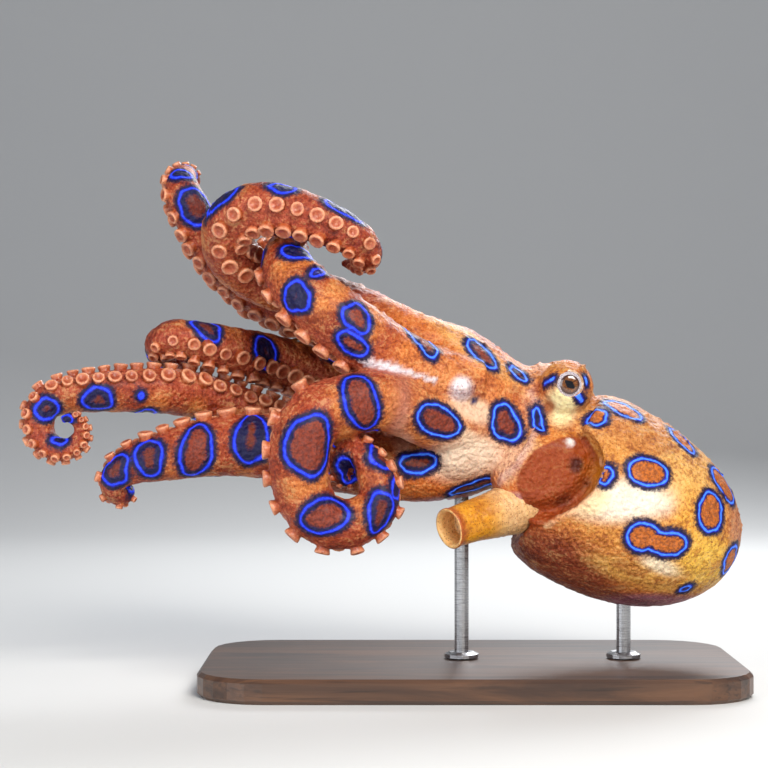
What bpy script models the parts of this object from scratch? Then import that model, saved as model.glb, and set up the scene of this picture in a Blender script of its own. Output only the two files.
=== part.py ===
# Blue ringed octopus, life size, swimming, held on a plain display stand.
# The animal swims with its mantle behind, at +X, and its arms in front, at -X.
# -Y is the animal's left side, and Z is up from the underside of the stand.
# Sizes are millimetres in the values below and metres in the meshes.

import math
import random

import bmesh
import bpy
import numpy as np
from mathutils import Matrix, Vector

mm = 0.001
gap = 0.3
seed = 7

# Stand
base_length = 112.0
base_width = 62.0
base_height = 5.0
base_corner = 14.0
base_bevel = 0.8
base_centre_x = -4.0
rod_radius = 1.5
rod_foot_radius = 3.6
rod_foot_height = 1.2
socket_depth = 3.4
rod_places = {"mantle": (28.0, 20.0), "crown": (-6.0, 44.5)}

# Mantle: an egg whose axis slopes down and back from its opening
mantle_opening = Vector((12.0, 0.0, 45.2))
mantle_slope = 30.0
mantle_length = 43.7
mantle_widest_at = 9.5
mantle_half_height = 20.4
mantle_opening_half_height = 17.6
mantle_depth_ratio = 0.95
mantle_fullness = 2.35
mantle_tip_lift = 1.6

# Head, neck, collar and eye mounds as centre and half sizes, for the left side
head_centre = (11.5, 0.0, 56.5)
head_half = (11.0, 10.6, 10.4)
neck_centre = (17.5, 0.0, 49.0)
neck_half = (11.0, 12.5, 11.5)
mound_centre = (15.2, -8.5, 62.0)
mound_half = (5.6, 5.9, 5.6)
collar_centre = (10.6, -8.5, 45.0)
collar_half = (11.2, 8.1, 8.8)
gape_centre = (10.6, -17.5, 45.0)
gape_half = (12.4, 9.0, 9.7)
gape_tilt = 25.0
eye_centre = (15.4, -11.3, 62.5)
eye_radius = 3.5
eye_bulge = 0.35
head_front = 6.4

# Funnel, from its root under the collar to its open tip
funnel_root = Vector((6.5, -7.5, 38.0))
funnel_tip = Vector((-9.3, -19.0, 33.6))
funnel_root_radius = 6.0
funnel_tip_radius = 3.9
funnel_wall = 0.8
funnel_bore_depth = 9.0

# Arm crown: rings of a widening cone, as x, centre height, half height and half depth
crown_rings = [
    (7.5, 55.6, 10.3, 10.4),
    (2.0, 56.8, 13.2, 12.6),
    (-3.8, 57.8, 16.2, 15.0),
    (-9.0, 57.9, 17.8, 16.4),
    (-12.0, 57.9, 16.6, 15.2),
    (-9.6, 57.9, 11.4, 10.4),
    (-7.2, 57.9, 5.6, 5.4),
    (-8.8, 57.9, 4.2, 4.0),
    (-8.6, 57.9, 2.6, 2.4),
    (-6.2, 57.9, 1.4, 1.2),
]
crown_sides = 20

# Arms: radius at the root, how long the arm stays thick, the side of its bend that
# the suckers take, and how far they lean towards the left, in degrees along the arm.
# web_end is the length of arm, from its root, that stays in the arm crown.
arm_tip_radius = 0.7
arm_lengths = 3
arm_sides = (10, 9, 7)
ring_step_per_radius = 0.66
arm_plans = {
    "arm_left_1": {
        "radius": 5.5, "fullness": 7.0, "swell": 0.03,
        "side": 1, "lean": (180, 75, 60, 80), "web_end": 22.0,
        "suckers_from": 58.0,
        "route": [
            (-3.8, -3.7, 66.6), (-10.6, -4.5, 70.0), (-17.9, -4.5, 72.8), (-24.8, -1.5, 76.2),
            (-32.6, 2.5, 79.7), (-41.2, 5.0, 82.4), (-49.0, 4.0, 85.3), (-54.3, -1.0, 89.8),
            (-54.1, -7.0, 95.6), (-48.4, -11.0, 98.6), (-39.8, -13.0, 97.4), (-31.6, -13.0, 94.1),
            (-26.6, -11.0, 91.0), (-25.6, -7.0, 88.6), (-27.6, -3.0, 87.4), (-31.0, -0.6, 88.0),
        ],
    },
    "arm_left_2": {
        "radius": 6.3, "fullness": 4.0, "swell": 0.06,
        "side": -1, "lean": (-15, -15, -15, -15), "web_end": 27.0,
        "tip_faces": (0.0, -0.6, -0.8),
        "route": [
            (-3.8, -9.0, 61.8), (-10.8, -11.5, 63.6), (-18.0, -14.0, 66.5), (-25.9, -16.2, 71.4),
            (-32.9, -16.8, 76.7), (-39.2, -15.4, 82.1), (-42.2, -10.8, 86.9), (-42.4, -4.5, 90.2),
            (-42.1, 1.5, 92.9), (-40.8, 6.0, 93.3), (-39.8, 8.8, 92.0), (-40.6, 7.2, 90.2),
        ],
    },
    "arm_left_3": {
        "radius": 5.9, "fullness": 3.6, "swell": 0.08,
        "side": 1, "lean": (-20, -20, -20, -20), "web_end": 29.0,
        "suckers_from": 37.0,
        "route": [
            (-3.8, -9.0, 54.3), (-10.8, -13.0, 54.6), (-17.4, -17.5, 57.5), (-23.5, -21.0, 59.4),
            (-30.6, -24.0, 58.2), (-35.9, -26.0, 56.1), (-38.2, -27.0, 52.2), (-39.0, -27.0, 46.7),
            (-38.2, -26.0, 41.3), (-35.7, -25.5, 37.0), (-30.6, -25.0, 34.8), (-26.0, -24.5, 36.3),
            (-23.1, -24.0, 39.8),
        ],
        "curl": {"centre": (-28.6, 45.3), "start": 33, "turn": 312, "radii": (4.5, 1.0),
                 "depths": (-22.6, -18.4), "points": 9},
    },
    "arm_left_4": {
        "radius": 6.3, "fullness": 5.0, "swell": 0.09,
        "side": 1, "lean": (-25, -25, -20, -10), "web_end": 20.0,
        "route": [
            (-3.8, -3.7, 48.5), (-10.6, -4.8, 44.9), (-18.9, -6.0, 44.8), (-29.3, -6.0, 46.5),
            (-39.7, -4.0, 48.2), (-50.0, -3.0, 49.7), (-59.5, -4.0, 49.1), (-68.6, -6.0, 47.3),
            (-74.5, -7.0, 45.7), (-78.0, -7.0, 43.2), (-78.4, -6.0, 40.5), (-76.6, -5.0, 38.9),
            (-75.0, -4.0, 40.1), (-75.4, -3.0, 41.8),
        ],
    },
    "arm_right_4": {
        "radius": 5.33, "fullness": 3.8, "swell": 0.0,
        "side": 1, "lean": (0, 20, 25, 25), "web_end": 28.0,
        "route": [
            (-3.8, 3.7, 48.5), (-10.3, 6.0, 45.7), (-18.8, 9.0, 46.6), (-29.6, 11.0, 48.8),
            (-40.4, 11.8, 51.5), (-51.0, 10.0, 55.8), (-61.4, 5.6, 59.8), (-69.4, 1.0, 61.1),
        ],
        "curl": {"centre": (-87.8, 53.8), "start": 97, "turn": 385, "radii": (7.1, 1.1),
                 "depths": (-4.0, -12.0), "points": 13},
    },
    "arm_right_3": {
        "radius": 5.45, "fullness": 3.8, "swell": 0.04,
        "side": -1, "lean": (20, 40, 50, 50), "web_end": 34.0,
        "route": [
            (-3.8, 9.0, 54.3), (-10.2, 12.5, 53.5), (-17.7, 15.5, 55.2), (-27.5, 18.5, 59.8),
            (-37.3, 18.0, 64.8), (-46.9, 13.5, 68.2), (-54.1, 7.0, 69.9), (-61.2, 3.0, 71.7),
            (-66.9, 1.5, 72.6), (-70.2, 4.5, 70.9), (-69.9, 9.0, 67.8), (-66.6, 12.0, 67.0),
            (-64.6, 13.0, 69.0), (-65.6, 11.6, 70.8),
        ],
    },
    "arm_right_2": {
        "radius": 5.4, "fullness": 2.6, "swell": 0.0,
        "side": -1, "lean": (0, 0, 0, 0), "web_end": 32.0,
        "route": [
            (-3.8, 9.0, 61.8), (-10.2, 13.5, 63.0), (-17.7, 18.0, 65.2), (-25.4, 23.0, 68.8),
            (-33.2, 28.2, 73.8), (-41.2, 31.0, 79.0), (-47.5, 31.0, 83.3), (-51.1, 31.0, 88.3),
            (-49.6, 28.0, 92.2), (-46.1, 25.0, 93.1), (-43.3, 24.0, 91.0), (-44.3, 25.2, 88.9),
        ],
    },
    "arm_right_1": {
        "radius": 5.3, "fullness": 6.0, "swell": 0.08,
        "side": -1, "lean": (0, 0, 10, 0), "web_end": 22.0,
        "route": [
            (-3.8, 3.7, 66.6), (-10.3, 7.0, 69.6), (-17.7, 10.0, 72.8), (-25.3, 12.0, 75.3),
            (-36.2, 15.7, 78.0), (-47.6, 17.5, 82.2), (-55.8, 16.0, 88.5), (-61.4, 13.0, 95.9),
            (-64.6, 10.0, 101.7), (-66.1, 12.0, 105.6), (-65.8, 18.0, 108.2), (-64.3, 23.0, 108.2),
            (-63.3, 24.0, 106.6),
        ],
    },
}

# Suckers: two rows, one each side of the middle of an arm's inner face
sucker_sides = 6
sucker_row_angle = 30.0
sucker_size_per_radius = 0.25
sucker_size_least = 0.25
sucker_height_per_radius = 0.34
sucker_pitch_per_radius = 0.9
sucker_pitch_least = 0.6
sucker_end = 0.86

colours = {
    "skin": ((0.62, 0.29, 0.09), 0.45, 0.0),
    "skin_arm": ((0.55, 0.21, 0.08), 0.45, 0.0),
    "skin_funnel": ((0.66, 0.42, 0.10), 0.5, 0.0),
    "eye": ((0.10, 0.07, 0.04), 0.1, 0.0),
    "stand": ((0.05, 0.05, 0.055), 0.5, 0.0),
    "steel": ((0.6, 0.6, 0.62), 0.3, 1.0),
}


def clear_scene():
    for thing in list(bpy.data.objects):
        bpy.data.objects.remove(thing)


def make_material(name):
    colour, roughness, metallic = colours[name]
    material = bpy.data.materials.new(name)
    material.use_nodes = True
    shader = material.node_tree.nodes["Principled BSDF"]
    shader.inputs["Base Color"].default_value = (*colour, 1.0)
    shader.inputs["Roughness"].default_value = roughness
    shader.inputs["Metallic"].default_value = metallic
    material.diffuse_color = (*colour, 1.0)
    return material


def mesh_object(name, bm, collection=None):
    bmesh.ops.recalc_face_normals(bm, faces=bm.faces)
    mesh = bpy.data.meshes.new(name)
    bm.to_mesh(mesh)
    bm.free()
    thing = bpy.data.objects.new(name, mesh)
    (collection or bpy.context.scene.collection).objects.link(thing)
    return thing


def loft(rings, closed_start=True, closed_end=True):
    # Joins rings of points with quads, and closes each end with one flat face.
    bm = bmesh.new()
    loops = []
    for ring in rings:
        loops.append([bm.verts.new(Vector(point) * mm) for point in ring])
    sides = len(loops[0])
    for first, second in zip(loops, loops[1:]):
        for i in range(sides):
            j = (i + 1) % sides
            bm.faces.new((first[i], first[j], second[j], second[i]))
    if closed_start:
        bm.faces.new(list(reversed(loops[0])))
    if closed_end:
        bm.faces.new(loops[-1])
    return bm


def ellipsoid(centre, half, tilt=0.0, grow=0.0, columns=16, rows=10, side=1):
    # side -1 gives the same form on the animal's right. grow widens it all round.
    bm = bmesh.new()
    bmesh.ops.create_uvsphere(bm, u_segments=columns, v_segments=rows, radius=1.0)
    size = Matrix.Diagonal([(value + grow) * mm for value in half]).to_4x4()
    turn = Matrix.Rotation(math.radians(-tilt), 4, "Y")
    place = Matrix.Translation(Vector((centre[0], centre[1] * side, centre[2])) * mm)
    bmesh.ops.transform(bm, matrix=place @ turn @ size, verts=bm.verts)
    return bm


def combine(target, cutters, operation):
    # Unites the target with the cutters, or takes them away, and keeps one closed body.
    group = bpy.data.collections.new("cutters")
    bpy.context.scene.collection.children.link(group)
    for index, bm in enumerate(cutters):
        piece = mesh_object("cutter_%d" % index, bm, group)
        piece.hide_render = True
        piece.display_type = "WIRE"
    modifier = target.modifiers.new("combine", "BOOLEAN")
    modifier.operand_type = "COLLECTION"
    modifier.collection = group
    modifier.operation = operation
    modifier.solver = "EXACT"
    graph = bpy.context.evaluated_depsgraph_get()
    mesh = bpy.data.meshes.new_from_object(target.evaluated_get(graph))
    target.modifiers.clear()
    target.data = mesh
    for piece in list(group.objects):
        bpy.data.objects.remove(piece)
    bpy.data.collections.remove(group)
    keep_largest(target)


def keep_largest(thing):
    bm = bmesh.new()
    bm.from_mesh(thing.data)
    bmesh.ops.remove_doubles(bm, verts=bm.verts, dist=0.002 * mm)
    bmesh.ops.dissolve_degenerate(bm, edges=bm.edges, dist=0.002 * mm)
    bmesh.ops.triangulate(bm, faces=[face for face in bm.faces if len(face.verts) > 4])
    left = set(bm.faces)
    bodies = []
    while left:
        front = [left.pop()]
        body = list(front)
        while front:
            face = front.pop()
            for edge in face.edges:
                for other in edge.link_faces:
                    if other in left:
                        left.discard(other)
                        front.append(other)
                        body.append(other)
        bodies.append(body)
    bodies.sort(key=lambda body: sum(face.calc_area() for face in body))
    for body in bodies[:-1]:
        bmesh.ops.delete(bm, geom=body, context="FACES")
    bm.to_mesh(thing.data)
    bm.free()


def cut_flat(thing, point, normal):
    # Keeps what lies behind the plane, and closes the cut with a flat face.
    bm = bmesh.new()
    bm.from_mesh(thing.data)
    everything = list(bm.verts) + list(bm.edges) + list(bm.faces)
    bmesh.ops.bisect_plane(
        bm, geom=everything, plane_co=Vector(point) * mm, plane_no=normal, clear_outer=True
    )
    rim = [edge for edge in bm.edges if edge.is_boundary]
    bmesh.ops.edgenet_fill(bm, edges=rim)
    bmesh.ops.recalc_face_normals(bm, faces=bm.faces)
    bm.to_mesh(thing.data)
    bm.free()
    keep_largest(thing)


def finish(thing, material, smooth_angle=40.0):
    thing.data.materials.clear()
    thing.data.materials.append(material)
    thing.data.polygons.foreach_set("use_smooth", [True] * len(thing.data.polygons))
    thing.data.set_sharp_from_angle(angle=math.radians(smooth_angle))


# Mantle
def mantle_half_width(along):
    if along < mantle_widest_at:
        short = (mantle_widest_at - along) / mantle_widest_at
        return mantle_half_height - (mantle_half_height - mantle_opening_half_height) * short ** 2
    part = (along - mantle_widest_at) / (mantle_length - mantle_widest_at)
    return mantle_half_height * math.sqrt(max(0.0, 1.0 - part ** mantle_fullness))


def mantle_rings(grow=0.0, columns=24):
    slope = math.radians(mantle_slope)
    back = Vector((math.cos(slope), 0.0, -math.sin(slope)))
    up = Vector((math.sin(slope), 0.0, math.cos(slope)))
    stations = [-grow, 4.5, 9.5, 15.5, 21.5, 27.0, 32.0, 36.5, 40.0, 42.3, 43.5]
    rings = []
    for along in stations:
        half = mantle_half_width(max(along, 0.0)) + grow
        lift = mantle_tip_lift * (along / mantle_length) ** 2
        stretch = along + grow * along / mantle_length
        centre = mantle_opening + back * stretch + up * lift
        ring = []
        for i in range(columns):
            turn = 2.0 * math.pi * i / columns
            side = Vector((0.0, mantle_depth_ratio * half * math.sin(turn), 0.0))
            ring.append(centre + up * half * math.cos(turn) + side)
        rings.append(ring)
    return rings


def head_forms(grow=0.0):
    forms = [ellipsoid(head_centre, head_half, grow=grow, columns=18, rows=12)]
    forms.append(ellipsoid(neck_centre, neck_half, grow=grow))
    for side in (1, -1):
        forms.append(ellipsoid(mound_centre, mound_half, grow=grow, side=side))
        forms.append(ellipsoid(collar_centre, collar_half, gape_tilt, grow, side=side))
    return forms


def make_mantle():
    mantle = mesh_object("mantle", loft(mantle_rings()))
    gapes = [ellipsoid(gape_centre, gape_half, gape_tilt, side=side) for side in (1, -1)]
    combine(mantle, head_forms(gap) + gapes + [rod_socket("mantle")], "DIFFERENCE")
    return mantle


def make_head():
    forms = head_forms()
    head = mesh_object("head", forms[0])
    combine(head, forms[1:], "UNION")
    sockets = []
    for side in (1, -1):
        ball = (eye_radius + gap,) * 3
        sockets.append(ellipsoid(eye_centre, ball, side=side))
    combine(head, sockets, "DIFFERENCE")
    cut_flat(head, (head_front, 0.0, 0.0), (-1.0, 0.0, 0.0))
    return head


def make_eye(name, side):
    # An eyeball with a low dome, the lens behind its pupil, on its outward side.
    bm = ellipsoid(eye_centre, (eye_radius,) * 3, side=side)
    outward = Vector((0.0, -side, 0.0))
    centre = Vector((eye_centre[0], eye_centre[1] * side, eye_centre[2])) * mm
    for vert in bm.verts:
        facing = (vert.co - centre).normalized().dot(outward)
        vert.co += outward * eye_bulge * mm * max(0.0, facing) ** 6
    return mesh_object(name, bm)


def make_funnel():
    # A tube whose bore is open at the tip. Its root is cut to the collar and mantle.
    axis = (funnel_tip - funnel_root).normalized()
    across = axis.cross(Vector((0.0, 0.0, 1.0))).normalized()
    upward = across.cross(axis).normalized()
    length = (funnel_tip - funnel_root).length
    profile = [(0.0, funnel_root_radius), (0.4, 4.8), (0.7, 4.3), (0.94, funnel_tip_radius)]
    profile.append((1.0, funnel_tip_radius - 0.1))
    profile.append((1.0, funnel_tip_radius - funnel_wall))
    profile.append((1.0 - funnel_bore_depth / length, funnel_tip_radius - funnel_wall - 0.5))
    rings = []
    for part, radius in profile:
        ring = []
        for i in range(18):
            turn = 2.0 * math.pi * i / 18
            offset = across * math.cos(turn) + upward * math.sin(turn)
            ring.append(funnel_root + axis * length * part + offset * radius)
        rings.append(ring)
    funnel = mesh_object("funnel", loft(rings))
    combine(funnel, head_forms(gap) + [loft(mantle_rings(gap))], "DIFFERENCE")
    return funnel


# Arms
def smooth_route(plan, step=0.5):
    # A smooth curve through the route's points, with the curl's points worked out.
    points = [np.array(point) for point in plan["route"]]
    if "curl" in plan:
        curl = plan["curl"]
        for i in range(1, curl["points"]):
            part = i / (curl["points"] - 1)
            turn = math.radians(curl["start"] + curl["turn"] * part)
            outer, inner = curl["radii"]
            radius = inner + (outer - inner) * (1.0 - part) ** 0.8
            near, far = curl["depths"]
            points.append(np.array((
                curl["centre"][0] + radius * math.cos(turn),
                near + (far - near) * part,
                curl["centre"][1] + radius * math.sin(turn),
            )))
    ends = [2 * points[0] - points[1]] + points + [2 * points[-1] - points[-2]]
    dense = []
    for a, b, c, d in zip(ends, ends[1:], ends[2:], ends[3:]):
        knots = [0.0]
        for first, second in ((a, b), (b, c), (c, d)):
            knots.append(knots[-1] + math.sqrt(np.linalg.norm(second - first)))
        for t in np.linspace(knots[1], knots[2], 24, endpoint=False):
            dense.append(spline_point((a, b, c, d), knots, t))
    dense.append(points[-1])
    dense = np.array(dense)
    travelled = lengths_along(dense)
    even = np.linspace(0.0, travelled[-1], int(travelled[-1] / step))
    path = np.stack([np.interp(even, travelled, dense[:, i]) for i in range(3)], axis=1)
    for _ in range(8):
        path[1:-1] = 0.25 * path[:-2] + 0.5 * path[1:-1] + 0.25 * path[2:]
    return path


def spline_point(corners, knots, t):
    level = list(corners)
    for span in (1, 2, 3):
        merged = []
        for i in range(len(level) - 1):
            low = knots[i] if span < 3 else knots[1]
            high = knots[i + span] if span < 3 else knots[2]
            if span == 2:
                low, high = knots[i], knots[i + 2]
            share = (t - low) / (high - low)
            merged.append((1.0 - share) * level[i] + share * level[i + 1])
        level = merged
    return level[0]


def lengths_along(path):
    steps = np.linalg.norm(np.diff(path, axis=0), axis=1)
    return np.concatenate(([0.0], np.cumsum(steps)))


class Arm:
    # An arm's middle line, its radius, and the direction that its suckers face.
    def __init__(self, plan):
        self.plan = plan
        self.path = smooth_route(plan)
        self.along = lengths_along(self.path)
        self.length = self.along[-1]
        part = self.along / self.length
        thick = plan["radius"] - arm_tip_radius
        swell = 1.0 + plan["swell"] * np.sin(math.pi * part) ** 2
        self.radius = arm_tip_radius + thick * swell * (1.0 - part ** plan["fullness"])
        heading = np.gradient(self.path, axis=0)
        self.heading = heading / np.linalg.norm(heading, axis=1)[:, None]
        lean = np.radians(np.interp(part, (0.0, 0.33, 0.66, 1.0), plan["lean"]))[:, None]
        flat = np.stack([self.heading[:, 2], 0 * part, -self.heading[:, 0]], axis=1)
        faces = flat * plan["side"] * np.cos(lean) + np.array((0.0, -1.0, 0.0)) * np.sin(lean)
        if "tip_faces" in plan:
            share = np.clip((part - 0.6) / 0.2, 0.0, 1.0)[:, None]
            faces = faces * (1.0 - share) + np.array(plan["tip_faces"]) * share
        faces -= self.heading * np.sum(faces * self.heading, axis=1)[:, None]
        self.faces = faces / np.linalg.norm(faces, axis=1)[:, None]

    def at(self, distance):
        def pick(values):
            return Vector([np.interp(distance, self.along, values[:, i]) for i in range(3)])
        radius = float(np.interp(distance, self.along, self.radius))
        heading = pick(self.heading).normalized()
        faces = pick(self.faces)
        faces = (faces - heading * faces.dot(heading)).normalized()
        return pick(self.path), heading, faces, radius


def arm_tube(arm, start, end, sides):
    # Rings closer together where the arm is thin, and a blunt point at the arm's tip.
    rings = []
    distance = start
    while distance < end - 0.3:
        rings.append(ring_at(arm, distance, sides))
        distance += ring_step(arm, distance)
    if end > arm.length - 0.01:
        rings.append(ring_at(arm, arm.length - 0.2, sides, 0.8))
        rings.append(ring_at(arm, arm.length, sides, 0.35))
    else:
        if distance - end > 0.4 * ring_step(arm, end):
            rings.pop()
        rings.append(ring_at(arm, end, sides))
    return loft(rings)


def ring_step(arm, distance):
    return max(1.15, ring_step_per_radius * arm.at(distance)[3])


def ring_at(arm, distance, sides, share=1.0):
    centre, heading, faces, radius = arm.at(distance)
    across = heading.cross(faces)
    ring = []
    for i in range(sides):
        turn = 2.0 * math.pi * (i + 0.5) / sides
        ring.append(centre + (faces * math.cos(turn) + across * math.sin(turn)) * radius * share)
    return ring


def sucker(arm, distance, row, draw):
    # A six-sided cup on a short stalk, sunk into the arm.
    centre, heading, faces, radius = arm.at(distance)
    across = heading.cross(faces)
    lean = math.radians(sucker_row_angle * row + draw.uniform(-3.0, 3.0))
    out = faces * math.cos(lean) + across * math.sin(lean)
    size = (sucker_size_least + sucker_size_per_radius * radius) * draw.uniform(0.92, 1.06)
    height = sucker_height_per_radius * radius * draw.uniform(0.9, 1.1)
    second = heading.cross(out)
    rings = []
    for level, share in ((radius * 0.62, 0.8), (radius + height, 1.0)):
        ring = []
        for i in range(sucker_sides):
            turn = 2.0 * math.pi * i / sucker_sides
            offset = (heading * math.cos(turn) + second * math.sin(turn)) * size * share
            ring.append(centre + out * level + offset)
        rings.append(ring)
    bm = loft(rings, closed_end=False)
    bm.verts.ensure_lookup_table()
    rim = bm.verts[sucker_sides:]
    cup = bm.verts.new((centre + out * (radius + height - 0.45 * size)) * mm)
    for i in range(sucker_sides):
        bm.faces.new((rim[i], rim[(i + 1) % sucker_sides], cup))
    return bm, size


def suckers_between(arm, start, end, draw):
    found = []
    distance = arm.plan.get("suckers_from", arm.plan["web_end"] + 1.0)
    row = 1
    while distance < arm.length * sucker_end:
        bm, size = sucker(arm, distance, row, draw)
        if start + size * 1.15 < distance < end - size * 1.15:
            found.append(bm)
        else:
            bm.free()
        radius = arm.at(distance)[3]
        distance += 0.5 * (sucker_pitch_least + sucker_pitch_per_radius * radius)
        row = -row
    return found


def make_arm(name, plan, material):
    # The free arm in three lengths, cut square to its middle line.
    arm = Arm(plan)
    draw = random.Random(seed + len(name) + int(plan["web_end"]))
    start = plan["web_end"]
    free = arm.length - start
    edges = [start, start + 0.36 * free, start + 0.70 * free, arm.length]
    for index, part in enumerate(("base", "middle", "tip")):
        low = edges[index] + gap / 2
        high = edges[index + 1] - (gap / 2 if index < 2 else 0.0)
        piece = mesh_object("%s_%s" % (name, part), arm_tube(arm, low, high, arm_sides[index]))
        cups = suckers_between(arm, low, high, draw)
        if cups:
            combine(piece, cups, "UNION")
        finish(piece, material)


# Crown
def make_crown():
    # The webbed root of the arms, with the lips of the mouth in its hollow.
    rings = []
    for x, height, half_height, half_depth in crown_rings:
        ring = []
        for i in range(crown_sides):
            turn = 2.0 * math.pi * i / crown_sides
            ring.append(Vector((
                x, half_depth * math.sin(turn), height + half_height * math.cos(turn)
            )))
        rings.append(ring)
    crown = mesh_object("arm_crown", loft(rings))
    roots = []
    for plan in arm_plans.values():
        arm = Arm(plan)
        roots.append(arm_tube(arm, 0.0, plan["web_end"] - gap / 2, 10))
    combine(crown, roots, "UNION")
    combine(crown, [rod_socket("crown")], "DIFFERENCE")
    cut_flat(crown, (head_front - gap, 0.0, 0.0), (1.0, 0.0, 0.0))
    return crown


# Stand
def rod_socket(name):
    # The blind hole in the underside of the animal that the rod's end goes into.
    x, top = rod_places[name]
    bm = bmesh.new()
    place = Matrix.Translation(Vector((x, 0.0, top + gap - 6.0)) * mm)
    bmesh.ops.create_cone(
        bm, cap_ends=True, segments=16, radius1=(rod_radius + gap) * mm,
        radius2=(rod_radius + gap) * mm, depth=12.0 * mm, matrix=place
    )
    return bm


def make_base():
    # A flat plate with round corners, and a blind hole for each rod.
    outline = []
    for corner in range(4):
        middle = math.radians(45 + 90 * corner)
        centre_x = base_centre_x + math.copysign(base_length / 2 - base_corner, math.cos(middle))
        centre_y = math.copysign(base_width / 2 - base_corner, math.sin(middle))
        for i in range(7):
            turn = math.radians(90 * corner + 15 * i)
            outline.append((math.cos(turn), math.sin(turn), centre_x, centre_y))
    rings = []
    inset = [(0.0, base_bevel), (base_bevel, 0.0), (base_height - base_bevel, 0.0)]
    inset.append((base_height, base_bevel))
    for height, inward in inset:
        reach = base_corner - inward
        rings.append([(cx + reach * c, cy + reach * s, height) for c, s, cx, cy in outline])
    base = mesh_object("stand_base", loft(rings))
    holes = []
    for x, _ in rod_places.values():
        bm = bmesh.new()
        place = Matrix.Translation(Vector((x, 0.0, base_height - socket_depth + 5.0)) * mm)
        bmesh.ops.create_cone(
            bm, cap_ends=True, segments=20, radius1=(rod_radius + gap) * mm,
            radius2=(rod_radius + gap) * mm, depth=10.0 * mm, matrix=place
        )
        holes.append(bm)
    combine(base, holes, "DIFFERENCE")
    return base


def make_rod(name):
    # A round rod with a low foot that stands on the base.
    x, top = rod_places[name]
    foot = base_height + gap
    bottom = base_height - socket_depth + gap
    profile = [
        (bottom, rod_radius), (foot, rod_radius), (foot, rod_foot_radius),
        (foot + rod_foot_height * 0.6, rod_foot_radius), (foot + rod_foot_height, 2.6),
        (foot + rod_foot_height, rod_radius), (top - 0.3, rod_radius), (top, rod_radius - 0.3),
    ]
    rings = []
    for height, radius in profile:
        ring = []
        for i in range(16):
            turn = 2.0 * math.pi * i / 16
            ring.append((x + radius * math.cos(turn), radius * math.sin(turn), height))
        rings.append(ring)
    return mesh_object("stand_rod_" + name, loft(rings))


def main():
    clear_scene()
    materials = {name: make_material(name) for name in colours}
    finish(make_mantle(), materials["skin"])
    finish(make_head(), materials["skin"])
    finish(make_eye("eye_left", 1), materials["eye"])
    finish(make_eye("eye_right", -1), materials["eye"])
    finish(make_funnel(), materials["skin_funnel"])
    finish(make_crown(), materials["skin"])
    for name, plan in arm_plans.items():
        make_arm(name, plan, materials["skin_arm"])
    finish(make_base(), materials["stand"], 30.0)
    for name in rod_places:
        finish(make_rod(name), materials["steel"], 30.0)


main()
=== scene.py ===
# Blue ringed octopus, life size, swimming above a plain museum stand.
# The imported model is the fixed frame. The pieces made here give it its skin.

import math
import random

import bpy
import numpy as np
from mathutils import Matrix, Vector


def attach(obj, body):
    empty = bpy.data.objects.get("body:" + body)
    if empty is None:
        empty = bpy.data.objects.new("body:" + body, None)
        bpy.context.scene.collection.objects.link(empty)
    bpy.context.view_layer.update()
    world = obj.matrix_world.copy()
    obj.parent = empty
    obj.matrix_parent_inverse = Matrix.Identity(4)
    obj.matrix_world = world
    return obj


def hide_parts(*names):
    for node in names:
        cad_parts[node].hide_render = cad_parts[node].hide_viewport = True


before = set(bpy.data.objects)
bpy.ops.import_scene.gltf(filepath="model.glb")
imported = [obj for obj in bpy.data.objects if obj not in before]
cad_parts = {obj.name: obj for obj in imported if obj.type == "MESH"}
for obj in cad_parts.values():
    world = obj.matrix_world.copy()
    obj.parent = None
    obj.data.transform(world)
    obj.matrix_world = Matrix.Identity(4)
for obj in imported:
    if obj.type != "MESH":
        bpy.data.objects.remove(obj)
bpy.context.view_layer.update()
mm = 0.001
scene = bpy.context.scene

# The camera looks level along +Y at the animal's left side. Sizes are millimetres.
cameraPlan = {
    "place": (-22.3, -420.0, 62.6),
    "frameWidth": 161.3,   # what the picture spans at the animal's middle plane
    "sensor": 36.0,
}


def clearSelection():
    if bpy.context.object and bpy.context.object.mode != "OBJECT":
        bpy.ops.object.mode_set(mode="OBJECT")
    bpy.ops.object.select_all(action="DESELECT")


def pick(*objects):
    clearSelection()
    for thing in objects:
        thing.select_set(True)
    bpy.context.view_layer.objects.active = objects[0]


def named(name):
    thing = bpy.context.object
    thing.name = name
    thing.data.name = name
    return thing


def settle(thing):
    # The object goes to the origin and its place goes into its mesh.
    pick(thing)
    bpy.ops.object.transform_apply(location=True, rotation=True, scale=True)


def applyAll(thing):
    pick(thing)
    for modifier in list(thing.modifiers):
        bpy.ops.object.modifier_apply(modifier=modifier.name)


def sealMesh(thing):
    # Joins the points that fall together at the poles and turns all faces outwards.
    pick(thing)
    bpy.ops.object.mode_set(mode="EDIT")
    bpy.ops.mesh.select_all(action="SELECT")
    bpy.ops.mesh.remove_doubles(threshold=0.02 * mm)
    bpy.ops.mesh.normals_make_consistent(inside=False)
    bpy.ops.object.mode_set(mode="OBJECT")


def paint(thing, material):
    thing.data.materials.clear()
    thing.data.materials.append(material)


def points(thing):
    flat = np.empty(len(thing.data.vertices) * 3)
    thing.data.vertices.foreach_get("co", flat)
    return flat.reshape(-1, 3)


def setPoints(thing, places):
    thing.data.vertices.foreach_set("co", np.asarray(places).ravel())
    thing.data.update()


def normals(thing):
    flat = np.empty(len(thing.data.vertices) * 3)
    thing.data.vertex_normals.foreach_get("vector", flat)
    return flat.reshape(-1, 3)


def smoothStep(low, high, value):
    part = np.clip((value - low) / (high - low), 0.0, 1.0)
    return part * part * (3.0 - 2.0 * part)


def mixed(first, second, share):
    return first * (1.0 - share) + np.array(second) * share


def colourOf(red, green, blue):
    # A colour as the eye names it, 0 to 255, turned into light.
    return tuple(((value / 255.0 + 0.055) / 1.055) ** 2.4 for value in (red, green, blue))


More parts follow.
